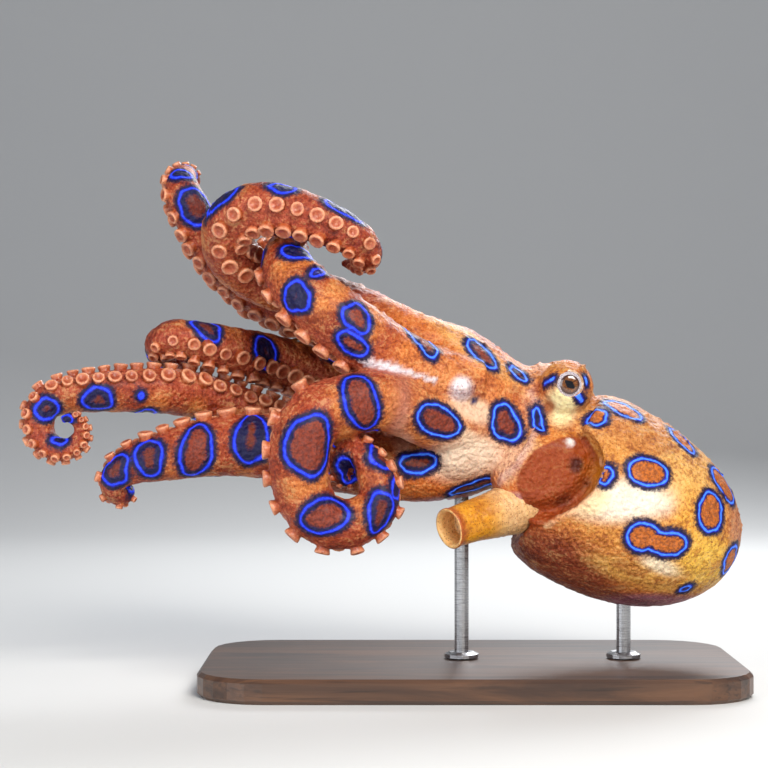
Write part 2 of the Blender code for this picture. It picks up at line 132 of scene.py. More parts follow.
def setFloats(thing, name, values):
    layer = thing.data.attributes.new(name, "FLOAT", "POINT")
    layer.data.foreach_set("value", np.asarray(values, dtype=np.float32))


def setColours(thing, name, values):
    layer = thing.data.attributes.new(name, "FLOAT_COLOR", "POINT")
    full = np.ones((len(values), 4), dtype=np.float32)
    full[:, :np.shape(values)[1]] = values
    layer.data.foreach_set("color", full.ravel())


def takeLayer(thing, name, key, width):
    # Reads a layer's values back, one row a point, and removes the layer.
    layer = thing.data.attributes[name]
    values = np.empty(len(layer.data) * width, dtype=np.float32)
    layer.data.foreach_get(key, values)
    thing.data.attributes.remove(layer)
    return values.reshape(-1, width)


# Arms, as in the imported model. Each has a radius, how long it stays thick (fullness), how
# much it swells midway, the side that its suckers face and how far that side leans to the
# camera, where the web ends, and a route of through points. Some end in a coil.
armTipRadius = 0.7
armPlans = {
    "left1": {
        "radius": 5.5, "fullness": 7.0, "swell": 0.03, "side": 1, "lean": (180, 75, 60, 80),
        "webEnd": 22.0, "suckersFrom": 58.0,
        "route": [
            (-3.8, -3.7, 66.6), (-10.6, -4.5, 70.0), (-17.9, -4.5, 72.8), (-24.8, -1.5, 76.2),
            (-32.6, 2.5, 79.7), (-41.2, 5.0, 82.4), (-49.0, 4.0, 85.3), (-54.3, -1.0, 89.8),
            (-54.1, -7.0, 95.6), (-48.4, -11.0, 98.6), (-39.8, -13.0, 97.4), (-31.6, -13.0, 94.1),
            (-26.6, -11.0, 91.0), (-25.6, -7.0, 88.6), (-27.6, -3.0, 87.4), (-31.0, -0.6, 88.0),
        ],
    },
    "left2": {
        "radius": 6.3, "fullness": 4.0, "swell": 0.06, "side": -1, "lean": (-15, -15, -15, -15),
        "webEnd": 27.0,
        "tipFaces": (0.0, -0.6, -0.8),
        "route": [
            (-3.8, -9.0, 61.8), (-10.8, -11.5, 63.6), (-18.0, -14.0, 66.5), (-25.9, -16.2, 71.4),
            (-32.9, -16.8, 76.7), (-39.2, -15.4, 82.1), (-42.2, -10.8, 86.9), (-42.4, -4.5, 90.2),
            (-42.1, 1.5, 92.9), (-40.8, 6.0, 93.3), (-39.8, 8.8, 92.0), (-40.6, 7.2, 90.2),
        ],
    },
    "left3": {
        "radius": 5.9, "fullness": 3.6, "swell": 0.08, "side": 1, "lean": (-20, -20, -20, -20),
        "webEnd": 29.0, "suckersFrom": 37.0,
        "route": [
            (-3.8, -9.0, 54.3), (-10.8, -13.0, 54.6), (-17.4, -17.5, 57.5), (-23.5, -21.0, 59.4),
            (-30.6, -24.0, 58.2), (-35.9, -26.0, 56.1), (-38.2, -27.0, 52.2), (-39.0, -27.0, 46.7),
            (-38.2, -26.0, 41.3), (-35.7, -25.5, 37.0), (-30.6, -25.0, 34.8), (-26.0, -24.5, 36.3),
            (-23.1, -24.0, 39.8),
        ],
        "curl": {"centre": (-28.6, 45.3), "start": 33, "turn": 312, "radii": (4.5, 1.0),
                 "depths": (-22.6, -18.4), "points": 9},
    },
    "left4": {
        "radius": 6.3, "fullness": 5.0, "swell": 0.09, "side": 1, "lean": (-25, -25, -20, -10),
        "webEnd": 20.0,
        "route": [
            (-3.8, -3.7, 48.5), (-10.6, -4.8, 44.9), (-18.9, -6.0, 44.8), (-29.3, -6.0, 46.5),
            (-39.7, -4.0, 48.2), (-50.0, -3.0, 49.7), (-59.5, -4.0, 49.1), (-68.6, -6.0, 47.3),
            (-74.5, -7.0, 45.7), (-78.0, -7.0, 43.2), (-78.4, -6.0, 40.5), (-76.6, -5.0, 38.9),
            (-75.0, -4.0, 40.1), (-75.4, -3.0, 41.8),
        ],
    },
    "right4": {
        "radius": 5.33, "fullness": 3.8, "swell": 0.0, "side": 1, "lean": (0, 20, 25, 25),
        "webEnd": 28.0,
        "route": [
            (-3.8, 3.7, 48.5), (-10.3, 6.0, 45.7), (-18.8, 9.0, 46.6), (-29.6, 11.0, 48.8),
            (-40.4, 11.8, 51.5), (-51.0, 10.0, 55.8), (-61.4, 5.6, 59.8), (-69.4, 1.0, 61.1),
        ],
        "curl": {"centre": (-87.8, 53.8), "start": 97, "turn": 385, "radii": (7.1, 1.1),
                 "depths": (-4.0, -12.0), "points": 13},
    },
    "right3": {
        "radius": 5.45, "fullness": 3.8, "swell": 0.04, "side": -1, "lean": (20, 40, 50, 50),
        "webEnd": 34.0,
        "route": [
            (-3.8, 9.0, 54.3), (-10.2, 12.5, 53.5), (-17.7, 15.5, 55.2), (-27.5, 18.5, 59.8),
            (-37.3, 18.0, 64.8), (-46.9, 13.5, 68.2), (-54.1, 7.0, 69.9), (-61.2, 3.0, 71.7),
            (-66.9, 1.5, 72.6), (-70.2, 4.5, 70.9), (-69.9, 9.0, 67.8), (-66.6, 12.0, 67.0),
            (-64.6, 13.0, 69.0), (-65.6, 11.6, 70.8),
        ],
    },
    "right2": {
        "radius": 5.4, "fullness": 2.6, "swell": 0.0, "side": -1, "lean": (0, 0, 0, 0),
        "webEnd": 32.0,
        "route": [
            (-3.8, 9.0, 61.8), (-10.2, 13.5, 63.0), (-17.7, 18.0, 65.2), (-25.4, 23.0, 68.8),
            (-33.2, 28.2, 73.8), (-41.2, 31.0, 79.0), (-47.5, 31.0, 83.3), (-51.1, 31.0, 88.3),
            (-49.6, 28.0, 92.2), (-46.1, 25.0, 93.1), (-43.3, 24.0, 91.0), (-44.3, 25.2, 88.9),
        ],
    },
    "right1": {
        "radius": 5.3, "fullness": 6.0, "swell": 0.08, "side": -1, "lean": (0, 0, 10, 0),
        "webEnd": 22.0,
        "route": [
            (-3.8, 3.7, 66.6), (-10.3, 7.0, 69.6), (-17.7, 10.0, 72.8), (-25.3, 12.0, 75.3),
            (-36.2, 15.7, 78.0), (-47.6, 17.5, 82.2), (-55.8, 16.0, 88.5), (-61.4, 13.0, 95.9),
            (-64.6, 10.0, 101.7), (-66.1, 12.0, 105.6), (-65.8, 18.0, 108.2), (-64.3, 23.0, 108.2),
            (-63.3, 24.0, 106.6),
        ],
    },
}


def curlPoints(curl):
    # An arm that ends in a coil has the coil's points worked out, seen from the left.
    found = []
    for i in range(1, curl["points"]):
        part = i / (curl["points"] - 1)
        turn = math.radians(curl["start"] + curl["turn"] * part)
        outer, inner = curl["radii"]
        radius = inner + (outer - inner) * (1.0 - part) ** 0.8
        near, far = curl["depths"]
        found.append(np.array((
            curl["centre"][0] + radius * math.cos(turn),
            near + (far - near) * part,
            curl["centre"][1] + radius * math.sin(turn),
        )))
    return found


def splinePoint(corners, knots, t):
    level = list(corners)
    for span in (1, 2, 3):
        merged = []
        for i in range(len(level) - 1):
            low = knots[i] if span < 3 else knots[1]
            high = knots[i + span] if span < 3 else knots[2]
            share = (t - low) / (high - low)
            merged.append((1.0 - share) * level[i] + share * level[i + 1])
        level = merged
    return level[0]


def lengthsAlong(path):
    steps = np.linalg.norm(np.diff(path, axis=0), axis=1)
    return np.concatenate(([0.0], np.cumsum(steps)))


def smoothRoute(plan, step=0.5):
    through = [np.array(point) for point in plan["route"]]
    if "curl" in plan:
        through += curlPoints(plan["curl"])
    ends = [2 * through[0] - through[1]] + through + [2 * through[-1] - through[-2]]
    dense = []
    for four in zip(ends, ends[1:], ends[2:], ends[3:]):
        knots = [0.0]
        for first, second in zip(four, four[1:]):
            knots.append(knots[-1] + math.sqrt(np.linalg.norm(second - first)))
        for t in np.linspace(knots[1], knots[2], 24, endpoint=False):
            dense.append(splinePoint(four, knots, t))
    dense = np.array(dense + [through[-1]])
    travelled = lengthsAlong(dense)
    even = np.linspace(0.0, travelled[-1], int(travelled[-1] / step))
    path = np.stack([np.interp(even, travelled, dense[:, i]) for i in range(3)], axis=1)
    for _ in range(8):
        path[1:-1] = 0.25 * path[:-2] + 0.5 * path[1:-1] + 0.25 * path[2:]
    return path


class Arm:
    # An arm's middle line, its radius, and the direction that its suckers face.
    def __init__(self, plan):
        self.plan = plan
        self.path = smoothRoute(plan)
        self.along = lengthsAlong(self.path)
        self.length = self.along[-1]
        part = self.along / self.length
        thick = plan["radius"] - armTipRadius
        swell = 1.0 + plan["swell"] * np.sin(math.pi * part) ** 2
        self.radius = armTipRadius + thick * swell * (1.0 - part ** plan["fullness"])
        heading = np.gradient(self.path, axis=0)
        self.heading = heading / np.linalg.norm(heading, axis=1)[:, None]
        lean = np.radians(np.interp(part, (0.0, 0.33, 0.66, 1.0), plan["lean"]))[:, None]
        flat = np.stack([self.heading[:, 2], 0 * part, -self.heading[:, 0]], axis=1)
        faces = flat * plan["side"] * np.cos(lean) + np.array((0.0, -1.0, 0.0)) * np.sin(lean)
        if "tipFaces" in plan:
            share = np.clip((part - 0.6) / 0.2, 0.0, 1.0)[:, None]
            faces = faces * (1.0 - share) + np.array(plan["tipFaces"]) * share
        faces -= self.heading * np.sum(faces * self.heading, axis=1)[:, None]
        self.faces = faces / np.linalg.norm(faces, axis=1)[:, None]
        self.across = np.cross(self.heading, self.faces)

    def at(self, distance):
        def pickFrom(values):
            return Vector([np.interp(distance, self.along, values[:, i]) for i in range(3)])
        heading = pickFrom(self.heading).normalized()
        faces = pickFrom(self.faces)
        faces = (faces - heading * faces.dot(heading)).normalized()
        radius = float(np.interp(distance, self.along, self.radius))
        return pickFrom(self.path), heading, faces, radius


arms = {name: Arm(plan) for name, plan in armPlans.items()}

# Body forms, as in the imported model
bodyPlan = {
    "mantleOpening": (12.0, 0.0, 45.2),
    "mantleSlope": 30.0,
    "mantleLength": 43.7,
    "mantleWidestAt": 9.5,
    "mantleHalfHeight": 20.4,
    "mantleOpeningHalfHeight": 17.6,
    "mantleDepthRatio": 0.95,
    "mantleFullness": 2.35,
    "mantleTipLift": 1.6,
    "mantleDish": (22.0, 5.0),   # how wide its front is dished, in degrees, and how deep
    "head": ((11.5, 0.0, 56.5), (11.0, 10.6, 10.4)),
    "neck": ((17.5, 0.0, 49.0), (11.0, 12.5, 11.5)),
    "mound": ((15.2, -8.5, 62.0), (5.6, 5.9, 5.6)),
    "collar": ((10.6, -8.5, 45.0), (11.2, 8.1, 8.8)),
    "gape": ((10.6, -17.5, 45.0), (12.4, 9.0, 9.7)),
    "gapeTilt": 25.0,
    "pocketDepth": 15.0,   # where the pocket's face lies, out from the middle plane
    "pocketReach": 25.0,   # the pocket stays off the arms beyond this many millimetres
    "pocketFlat": 0.75,    # how much of what stands proud of its face is pressed back
    "eye": (15.4, -11.3, 62.5),
    # Place along the body, height of the middle, half height and half depth
    "crown": [
        (9.5, 55.1, 10.2, 9.8), (5.0, 55.2, 12.5, 11.3), (0.0, 56.1, 15.5, 13.6),
        (-4.0, 56.6, 17.5, 15.0), (-9.0, 57.0, 18.7, 16.4), (-12.0, 57.4, 17.1, 15.2),
        (-9.6, 57.9, 11.4, 10.4), (-7.2, 57.9, 5.6, 5.4),
    ],
    "crownCap": 0.06,   # share of the crown's length at each end that closes it
    "voxel": 0.78,      # size of the cells that the skin is remeshed with
}


def placed(spot, side=1):
    return Vector((spot[0], spot[1] * side, spot[2])) * mm


def addEllipsoid(name, centre, half, tilt=0.0, side=1):
    clearSelection()
    bpy.ops.mesh.primitive_uv_sphere_add(
        segments=48, ring_count=32, radius=1.0, location=placed(centre, side),
        rotation=(0.0, math.radians(-tilt), 0.0), scale=[value * mm for value in half]
    )
    thing = named(name)
    settle(thing)
    return thing


def addUnitSphere(name, segments, rings):
    clearSelection()
    bpy.ops.mesh.primitive_uv_sphere_add(segments=segments, ring_count=rings, radius=1.0)
    thing = named(name)
    return thing, points(thing)


def mantleHalf(along):
    plan = bodyPlan
    widest = plan["mantleWidestAt"]
    short = np.clip((widest - along) / widest, 0.0, 1.0)
    drop = plan["mantleHalfHeight"] - plan["mantleOpeningHalfHeight"]
    front = plan["mantleHalfHeight"] - drop * short ** 2
    part = np.clip((along - widest) / (plan["mantleLength"] - widest), 0.0, 1.0)
    back = plan["mantleHalfHeight"] * np.sqrt(1.0 - part ** plan["mantleFullness"])
    return np.where(along < widest, front, back)


def mantleAxes():
    slope = math.radians(bodyPlan["mantleSlope"])
    back = np.array((math.cos(slope), 0.0, -math.sin(slope)))
    up = np.array((math.sin(slope), 0.0, math.cos(slope)))
    return np.array(bodyPlan["mantleOpening"]), back, up


def addMantle():
    # A sphere whose poles lie on the mantle's axis, pushed out to the egg's outline.
    thing, unit = addUnitSphere("mantleForm", 96, 64)
    polar = np.degrees(np.arccos(np.clip(-unit[:, 2], -1.0, 1.0)))
    length = bodyPlan["mantleLength"]
    along = length * (1.0 - np.cos(np.radians(polar))) / 2.0
    dishEdge, dishDepth = bodyPlan["mantleDish"]
    half = mantleHalf(along) * np.clip(polar / dishEdge, 0.0, 1.0)
    along = along + dishDepth * np.clip(1.0 - polar / dishEdge, 0.0, 1.0)
    turn = np.arctan2(unit[:, 1], unit[:, 0])
    opening, back, up = mantleAxes()
    lift = bodyPlan["mantleTipLift"] * (along / length) ** 2
    spots = opening + back * along[:, None] + up * (lift + half * np.cos(turn))[:, None]
    spots[:, 1] += bodyPlan["mantleDepthRatio"] * half * np.sin(turn)
    setPoints(thing, spots * mm)
    sealMesh(thing)
    for side in (1, -1):
        centre, half = bodyPlan["gape"]
        cutter = addEllipsoid("gapeCutter", centre, half, bodyPlan["gapeTilt"], side)
        cut = thing.modifiers.new("gape", "BOOLEAN")
        cut.object = cutter
        cut.operation = "DIFFERENCE"
        applyAll(thing)
        bpy.data.objects.remove(cutter)
    return thing


def addTube(name, spots, radii, sides=8):
    # A tube through points in millimetres, made as a curve and turned into a mesh.
    curve = bpy.data.curves.new(name, "CURVE")
    curve.dimensions = "3D"
    curve.bevel_depth = mm
    curve.bevel_resolution = sides
    curve.use_fill_caps = True
    line = curve.splines.new("POLY")
    line.points.add(len(spots) - 1)
    for point, spot, radius in zip(line.points, spots, radii):
        point.co = (*(Vector(spot) * mm), 1.0)
        point.radius = radius
    thing = bpy.data.objects.new(name, curve)
    scene.collection.objects.link(thing)
    pick(thing)
    bpy.ops.object.convert(target="MESH")
    return named(name)


def addCrown():
    # The widening cone at the arms' roots, dished round the mouth at its front.
    thing, unit = addUnitSphere("crownForm", 64, 48)
    share = np.degrees(np.arccos(np.clip(unit[:, 2], -1.0, 1.0))) / 180.0
    rings = np.array(bodyPlan["crown"])
    cap = bodyPlan["crownCap"]
    stations = np.linspace(cap, 1.0 - cap, len(rings))
    x, middle, high, deep = [np.interp(share, stations, rings[:, i]) for i in range(4)]
    closing = np.clip(share / cap, 0.0, 1.0) * np.clip((1.0 - share) / cap, 0.0, 1.0)
    turn = np.arctan2(unit[:, 1], unit[:, 0])
    spots = np.stack([
        x, deep * closing * np.sin(turn), middle + high * closing * np.cos(turn)
    ], axis=1)
    setPoints(thing, spots * mm)
    sealMesh(thing)
    return thing


webPlan = {
    "order": ["left1", "left2", "left3", "left4", "right4", "right3", "right2", "right1"],
    "strands": 22,
    "points": 9,
    "radius": 0.85,
    "sag": 0.42,      # how far a strand bows back, as a share of the gap between its arms
    "swell": 0.45,    # how far it bulges outwards, as a share of the arm's radius
    "middle": 57.0,   # height of the crown's middle line
}


def addWebs():
    # Strands laid side by side between neighbouring arms, which the remesh joins.
    order = webPlan["order"]
    found = []
    for first, second in zip(order, order[1:] + order[:1]):
        one, two = arms[first], arms[second]
        reach = min(one.plan["webEnd"], two.plan["webEnd"])
        for i in range(webPlan["strands"]):
            part = i / (webPlan["strands"] - 1)
            a, headA, _, radiusA = one.at(reach * part)
            b, headB = two.at(reach * part)[:2]
            span = (b - a).length
            back = (headA + headB) * 0.5 * span * webPlan["sag"] * part
            height = webPlan["middle"]
            middle = Vector((a.x, 0.0, height)).lerp(Vector((b.x, 0.0, height)), 0.5)
            line = []
            for j in range(webPlan["points"]):
                t = j / (webPlan["points"] - 1)
                bow = 4.0 * t * (1.0 - t)
                spot = a.lerp(b, t) - back * bow
                swell = webPlan["swell"] * radiusA * (1.0 - part) * bow
                line.append(spot + (spot - middle).normalized() * swell)
            found.append(addTube("webStrand", line, [webPlan["radius"]] * len(line), 1))
    return found


rimPlan = {
    "degrees": (-150, 61, 6),   # where the lip starts, stops and how fine its steps are
    "radius": 0.75,
    "sunk": 0.3,
}


def addRim():
    # The thin lip of the mantle's edge round each gape.
    centre, half = bodyPlan["gape"]
    opening, back, up = mantleAxes()
    tilt = math.radians(bodyPlan["gapeTilt"])
    found = []
    for side in (1, -1):
        line = []
        for degree in range(*rimPlan["degrees"]):
            turn = math.radians(degree)
            long = half[0] * math.cos(turn)
            tall = half[2] * math.sin(turn)
            x = centre[0] + long * math.cos(tilt) - tall * math.sin(tilt)
            z = centre[2] + long * math.sin(tilt) + tall * math.cos(tilt)
            offset = np.array((x, 0.0, z)) - opening
            along, height = float(offset @ back), float(offset @ up)
            if along < 0.2:
                continue
            wide = float(mantleHalf(np.array(along)))
            if abs(height) > wide * 0.995:
                continue
            y = bodyPlan["mantleDepthRatio"] * math.sqrt(wide ** 2 - height ** 2)
            line.append((x, -side * (y - rimPlan["sunk"]), z))
        found.append(addTube("mantleRim", line, [rimPlan["radius"]] * len(line), 2))
    return found


def addSkin():
    # All the flesh in one piece: forms are laid over one another and remeshed here, and smoothed
    # afterwards in finishSkin.
    forms = [addMantle(), addCrown()]
    forms.append(addEllipsoid("headForm", *bodyPlan["head"]))
    forms.append(addEllipsoid("neckForm", *bodyPlan["neck"]))
    for side in (1, -1):
        forms.append(addEllipsoid("moundForm", *bodyPlan["mound"], side=side))
        centre, half = bodyPlan["collar"]
        forms.append(addEllipsoid("collarForm", centre, half, bodyPlan["gapeTilt"], side))
    for name, arm in arms.items():
        forms.append(addTube(name + "Form", arm.path[::2], arm.radius[::2]))
    forms += addWebs()
    forms += addRim()
    pick(*forms)
    bpy.ops.object.join()
    skin = named("octopusSkin")
    skin.data.remesh_voxel_size = bodyPlan["voxel"] * mm
    bpy.ops.object.voxel_remesh()
    print("skin after remesh", len(skin.data.polygons))
    return skin


print("forming the skin")
skin = addSkin()


# Millimetres that one of the picture's 768 pixels spans at the animal's middle plane
pixel = 0.21
pictureMiddle = 384.0


def pictureOf(spots):
    # Picture place of points in millimetres, seen by the camera.
    camera = cameraPlan["place"]
    shrink = -camera[1] / (spots[:, 1] - camera[1])
    across = pictureMiddle + (spots[:, 0] - camera[0]) * shrink / pixel
    down = pictureMiddle - (spots[:, 2] - camera[2]) * shrink / pixel
    return across, down


def foldedSpots(spots):
    # Both sides laid on the near one, so that picture places mark both alike.
    return np.stack([spots[:, 0], -np.abs(spots[:, 1]), spots[:, 2]], axis=1)


def spotAt(thing, across, down):
    # The first point of a piece that the camera sees at a picture place, in millimetres.
    start = Vector(cameraPlan["place"]) * mm
    right, high = across - pictureMiddle, pictureMiddle - down
    reach = Vector((right * pixel, -cameraPlan["place"][1], high * pixel))
    hit, place, normal, _ = thing.ray_cast(start, reach.normalized())
    return (np.array(place) / mm, np.array(normal)) if hit else (None, None)


# Rings: centre and size in picture pixels, tilt in degrees (positive turns clockwise),
# and the colour inside. Those on arms are placed by how far along and round they lie.
ringPlan = {
    "body": [
        (596, 416, 23, 21, 0, "amber"), (624, 409, 38, 24, 18, "amber"),
        (682, 440, 34, 24, 40, "amber"), (648, 472, 38, 28, 6, "amber"),
        (643, 537, 34, 25, 8, "amber"), (670, 544, 34, 23, 10, "amber"),
        (657, 541, 34, 22, 14, "amber"),
        (711, 512, 31, 37, -6, "amber"), (725, 484, 32, 42, -28, "amber"),
        (731, 560, 24, 30, 20, "amber"),
        (686, 589, 12, 8, -15, "blue"), (606, 475, 14, 18, 10, "amber"),
        (538, 421, 8, 24, -8, "rust"), (439, 421, 49, 29, 30, "rust"),
        (506, 423, 38, 26, 66, "rust"), (418, 463, 37, 18, -6, "rust"),
        (475, 486, 50, 16, -4, "rust"), (397, 488, 14, 22, 10, "navy"),
        (482, 353, 36, 22, 42, "rust"), (518, 373, 20, 12, 45, "rust"),
        (420, 338, 46, 26, 42, "rust"),
    ],
    # Rings on arms that the camera sees, placed like the body's
    "seen": [
        (197, 206, 36, 38, 15, "umber"), (181, 173, 24, 14, 10, "navy"),
        (297, 251, 35, 20, 2, "navy"),
        (296, 297, 26, 30, 0, "navy"), (357, 317, 28, 26, 30, "rust"),
        (352, 344, 30, 20, 28, "rust"), (207, 327, 34, 24, 25, "umber"),
        (266, 352, 26, 34, -20, "navy"), (98, 400, 30, 22, 0, "umber"),
        (47, 409, 21, 22, 0, "umber"), (141, 396, 4, 5, 0, "blue"),
        (60, 440, 14, 12, 0, "navy"), (196, 450, 33, 52, 6, "rust"),
        (149, 457, 25, 40, 4, "umber"), (115, 470, 25, 32, 20, "umber"),
        (251, 436, 32, 54, 0, "navy"), (310, 446, 42, 60, -6, "rust"),
        (362, 402, 34, 56, -14, "rust"), (325, 516, 44, 34, -10, "rust"),
        (381, 512, 24, 38, 14, "umber"), (383, 456, 28, 30, 0, "umber"),
        (349, 468, 18, 30, -20, "navy"), (318, 272, 9, 18, 30, "blue"),
    ],
    "arms": {
        "left1": [
            (71.5, -90, 26, 20, "navy"), (81.5, -84, 20, 18, "navy"), (93.0, -86, 34, 16, "navy"),
            (103.0, -120, 13, 12, "navy"), (34.0, -150, 30, 24, "navy"), (55.0, 170, 30, 24, "navy"),
        ],
        "left2": [
            (30.4, 119, 26, 26, "rust"), (24.8, 82, 26, 24, "rust"), (41.5, 58, 25, 26, "navy"),
            (52.5, 38, 19, 31, "navy"), (40.0, 178, 30, 24, "navy"), (54.0, 120, 24, 20, "navy"),
            (66.5, 80, 20, 22, "navy"),
        ],
        "right1": [
            (75.1, 91, 40, 30, "navy"), (89.0, 70, 20, 22, "navy"), (58.0, 130, 32, 26, "navy"),
            (42.0, 150, 32, 24, "navy"), (98.0, 120, 15, 14, "navy"),
        ],
        "right3": [
            (66.5, 118, 26, 32, "navy"), (50.9, 72, 32, 30, "navy"), (36.0, 130, 32, 28, "navy"),
            (82.0, 110, 20, 20, "navy"), (94.0, 110, 14, 14, "navy"), (55.0, 165, 28, 20, "navy"),
        ],
        "right4": [
            (84.6, -92, 26, 24, "navy"), (96.6, -86, 20, 18, "navy"), (75.0, -150, 20, 18, "navy"),
            (121.0, -93, 13, 12, "navy"), (109.0, -110, 15, 14, "navy"), (60.0, -140, 30, 22, "navy"),
            (40.0, -120, 30, 26, "navy"),
        ],
        "left4": [
            (59.0, -109, 34, 48, "rust"), (69.2, -105, 24, 40, "navy"), (77.5, -100, 19, 26, "navy"),
            (46.0, -100, 30, 56, "navy"), (86.0, -110, 15, 17, "navy"), (32.0, -120, 32, 44, "navy"),
        ],
        "left3": [
            (26.2, -117, 42, 50, "rust"), (43.8, -130, 44, 54, "rust"), (58.6, -128, 40, 42, "navy"),
            (71.5, -98, 26, 34, "navy"), (81.3, -60, 20, 26, "navy"), (92.0, -90, 17, 22, "navy"),
            (101.0, -100, 13, 17, "navy"),
        ],
        "right2": [
            (30.0, -120, 30, 26, "rust"), (46.0, -110, 30, 28, "navy"), (62.0, -120, 28, 26, "navy"),
            (76.0, -110, 20, 20, "navy"), (88.0, -110, 15, 15, "navy"),
        ],
    },
    # Short blue bars by the eye: picture place, length, thickness, tilt
    "bars": [
        (549, 381, 11, 2.2, -8), (580, 398, 11, 2.6, 62), (586, 381, 6, 2.0, 80),
    ],
    "waviness": 0.10,
    "fineBand": 0.2,     # how near a ring's line the skin's faces are made smaller
    "bodyEnd": 22.0,     # millimetres along an arm up to which a ring counts as the body's
    "bodySpill": 34.0,   # how far along the arms a ring of the body may run
    "armSpill": 20.0,    # how near the body a ring seen on an arm may run on to others
    "clear": (1.8, 1.2),   # a hidden ring keeps this clear of those that the camera sees
    "farShift": (3.0, 9),    # how much the far side's rings stray, in millimetres and degrees
    "seed": 5,
}
# What lies inside a ring, and how far the dark edge reaches in (0 to 1)
insideColours = {
    "amber": (*colourOf(198, 106, 34), 0.0),
    "rust": (*colourOf(136, 54, 32), 0.25),
    "umber": (*colourOf(112, 40, 26), 0.45),
    "navy": (*colourOf(120, 46, 26), 1.0),
    "blue": (*colourOf(30, 40, 150), 0.0),
}


def ellipseDistance(across, along, halfAcross, halfAlong, waver, turn):
    # About how far a point lies outside an ellipse whose edge wavers a little.
    angle = np.arctan2(along / halfAlong, across / halfAcross)
    wave = 1.0 + waver[0] * np.sin(2 * angle + turn[0]) + waver[1] * np.sin(3 * angle + turn[1])
    wave = wave + 0.5 * waver[1] * np.sin(5 * angle + turn[2])
    a, b = halfAcross * wave, halfAlong * wave
    inner = np.sqrt((across / a) ** 2 + (along / b) ** 2)
    slope = np.sqrt((across / a ** 2) ** 2 + (along / b ** 2) ** 2)
    return inner * (inner - 1.0) / np.maximum(slope, 1e-6)


def armPlaces(spots):
    # For each point: its nearest arm, how far along, how far round, and how near, in radii.
    best = np.full(len(spots), 1e9)
    which = np.full(len(spots), -1)
    along, turn, wide = np.zeros(len(spots)), np.zeros(len(spots)), np.ones(len(spots))
    for number, arm in enumerate(arms.values()):
        line = arm.path
        squared = (spots ** 2).sum(1)[:, None] + (line ** 2).sum(1)[None] - 2.0 * spots @ line.T
        ratio = np.sqrt(np.maximum(squared, 0.0)) / arm.radius[None]
        nearest = ratio.argmin(1)
        value = ratio[np.arange(len(spots)), nearest]
        offset = spots - line[nearest]
        near = value < best
        spin = np.arctan2(
            (offset * arm.across[nearest]).sum(1), (offset * arm.faces[nearest]).sum(1)
        )
        travelled = arm.along[nearest] + (offset * arm.heading[nearest]).sum(1)
        best[near], which[near] = value[near], number
        along[near], turn[near] = travelled[near], spin[near]
        wide[near] = arm.radius[nearest][near]
    return which, along, turn, wide, best


def surfacePlaces(spots, middle, flat, tilt):
    # How far points lie to the right of and above a place on the skin, along the skin.
    offset = spots - middle
    length = np.linalg.norm(offset, axis=1)
    offset = offset - (offset @ flat)[:, None] * flat
    offset *= (length / np.maximum(np.linalg.norm(offset, axis=1), 1e-6))[:, None]
    rightward = np.array((1.0, 0.0, 0.0)) - flat * flat[0]
    rightward /= np.linalg.norm(rightward)
    upward = np.cross(rightward, flat)
    upward *= math.copysign(1.0, upward[2])
    lean = math.radians(tilt)
    right, high = offset @ rightward, offset @ upward
    return (
        right * math.cos(lean) - high * math.sin(lean),
        right * math.sin(lean) + high * math.cos(lean),
    )


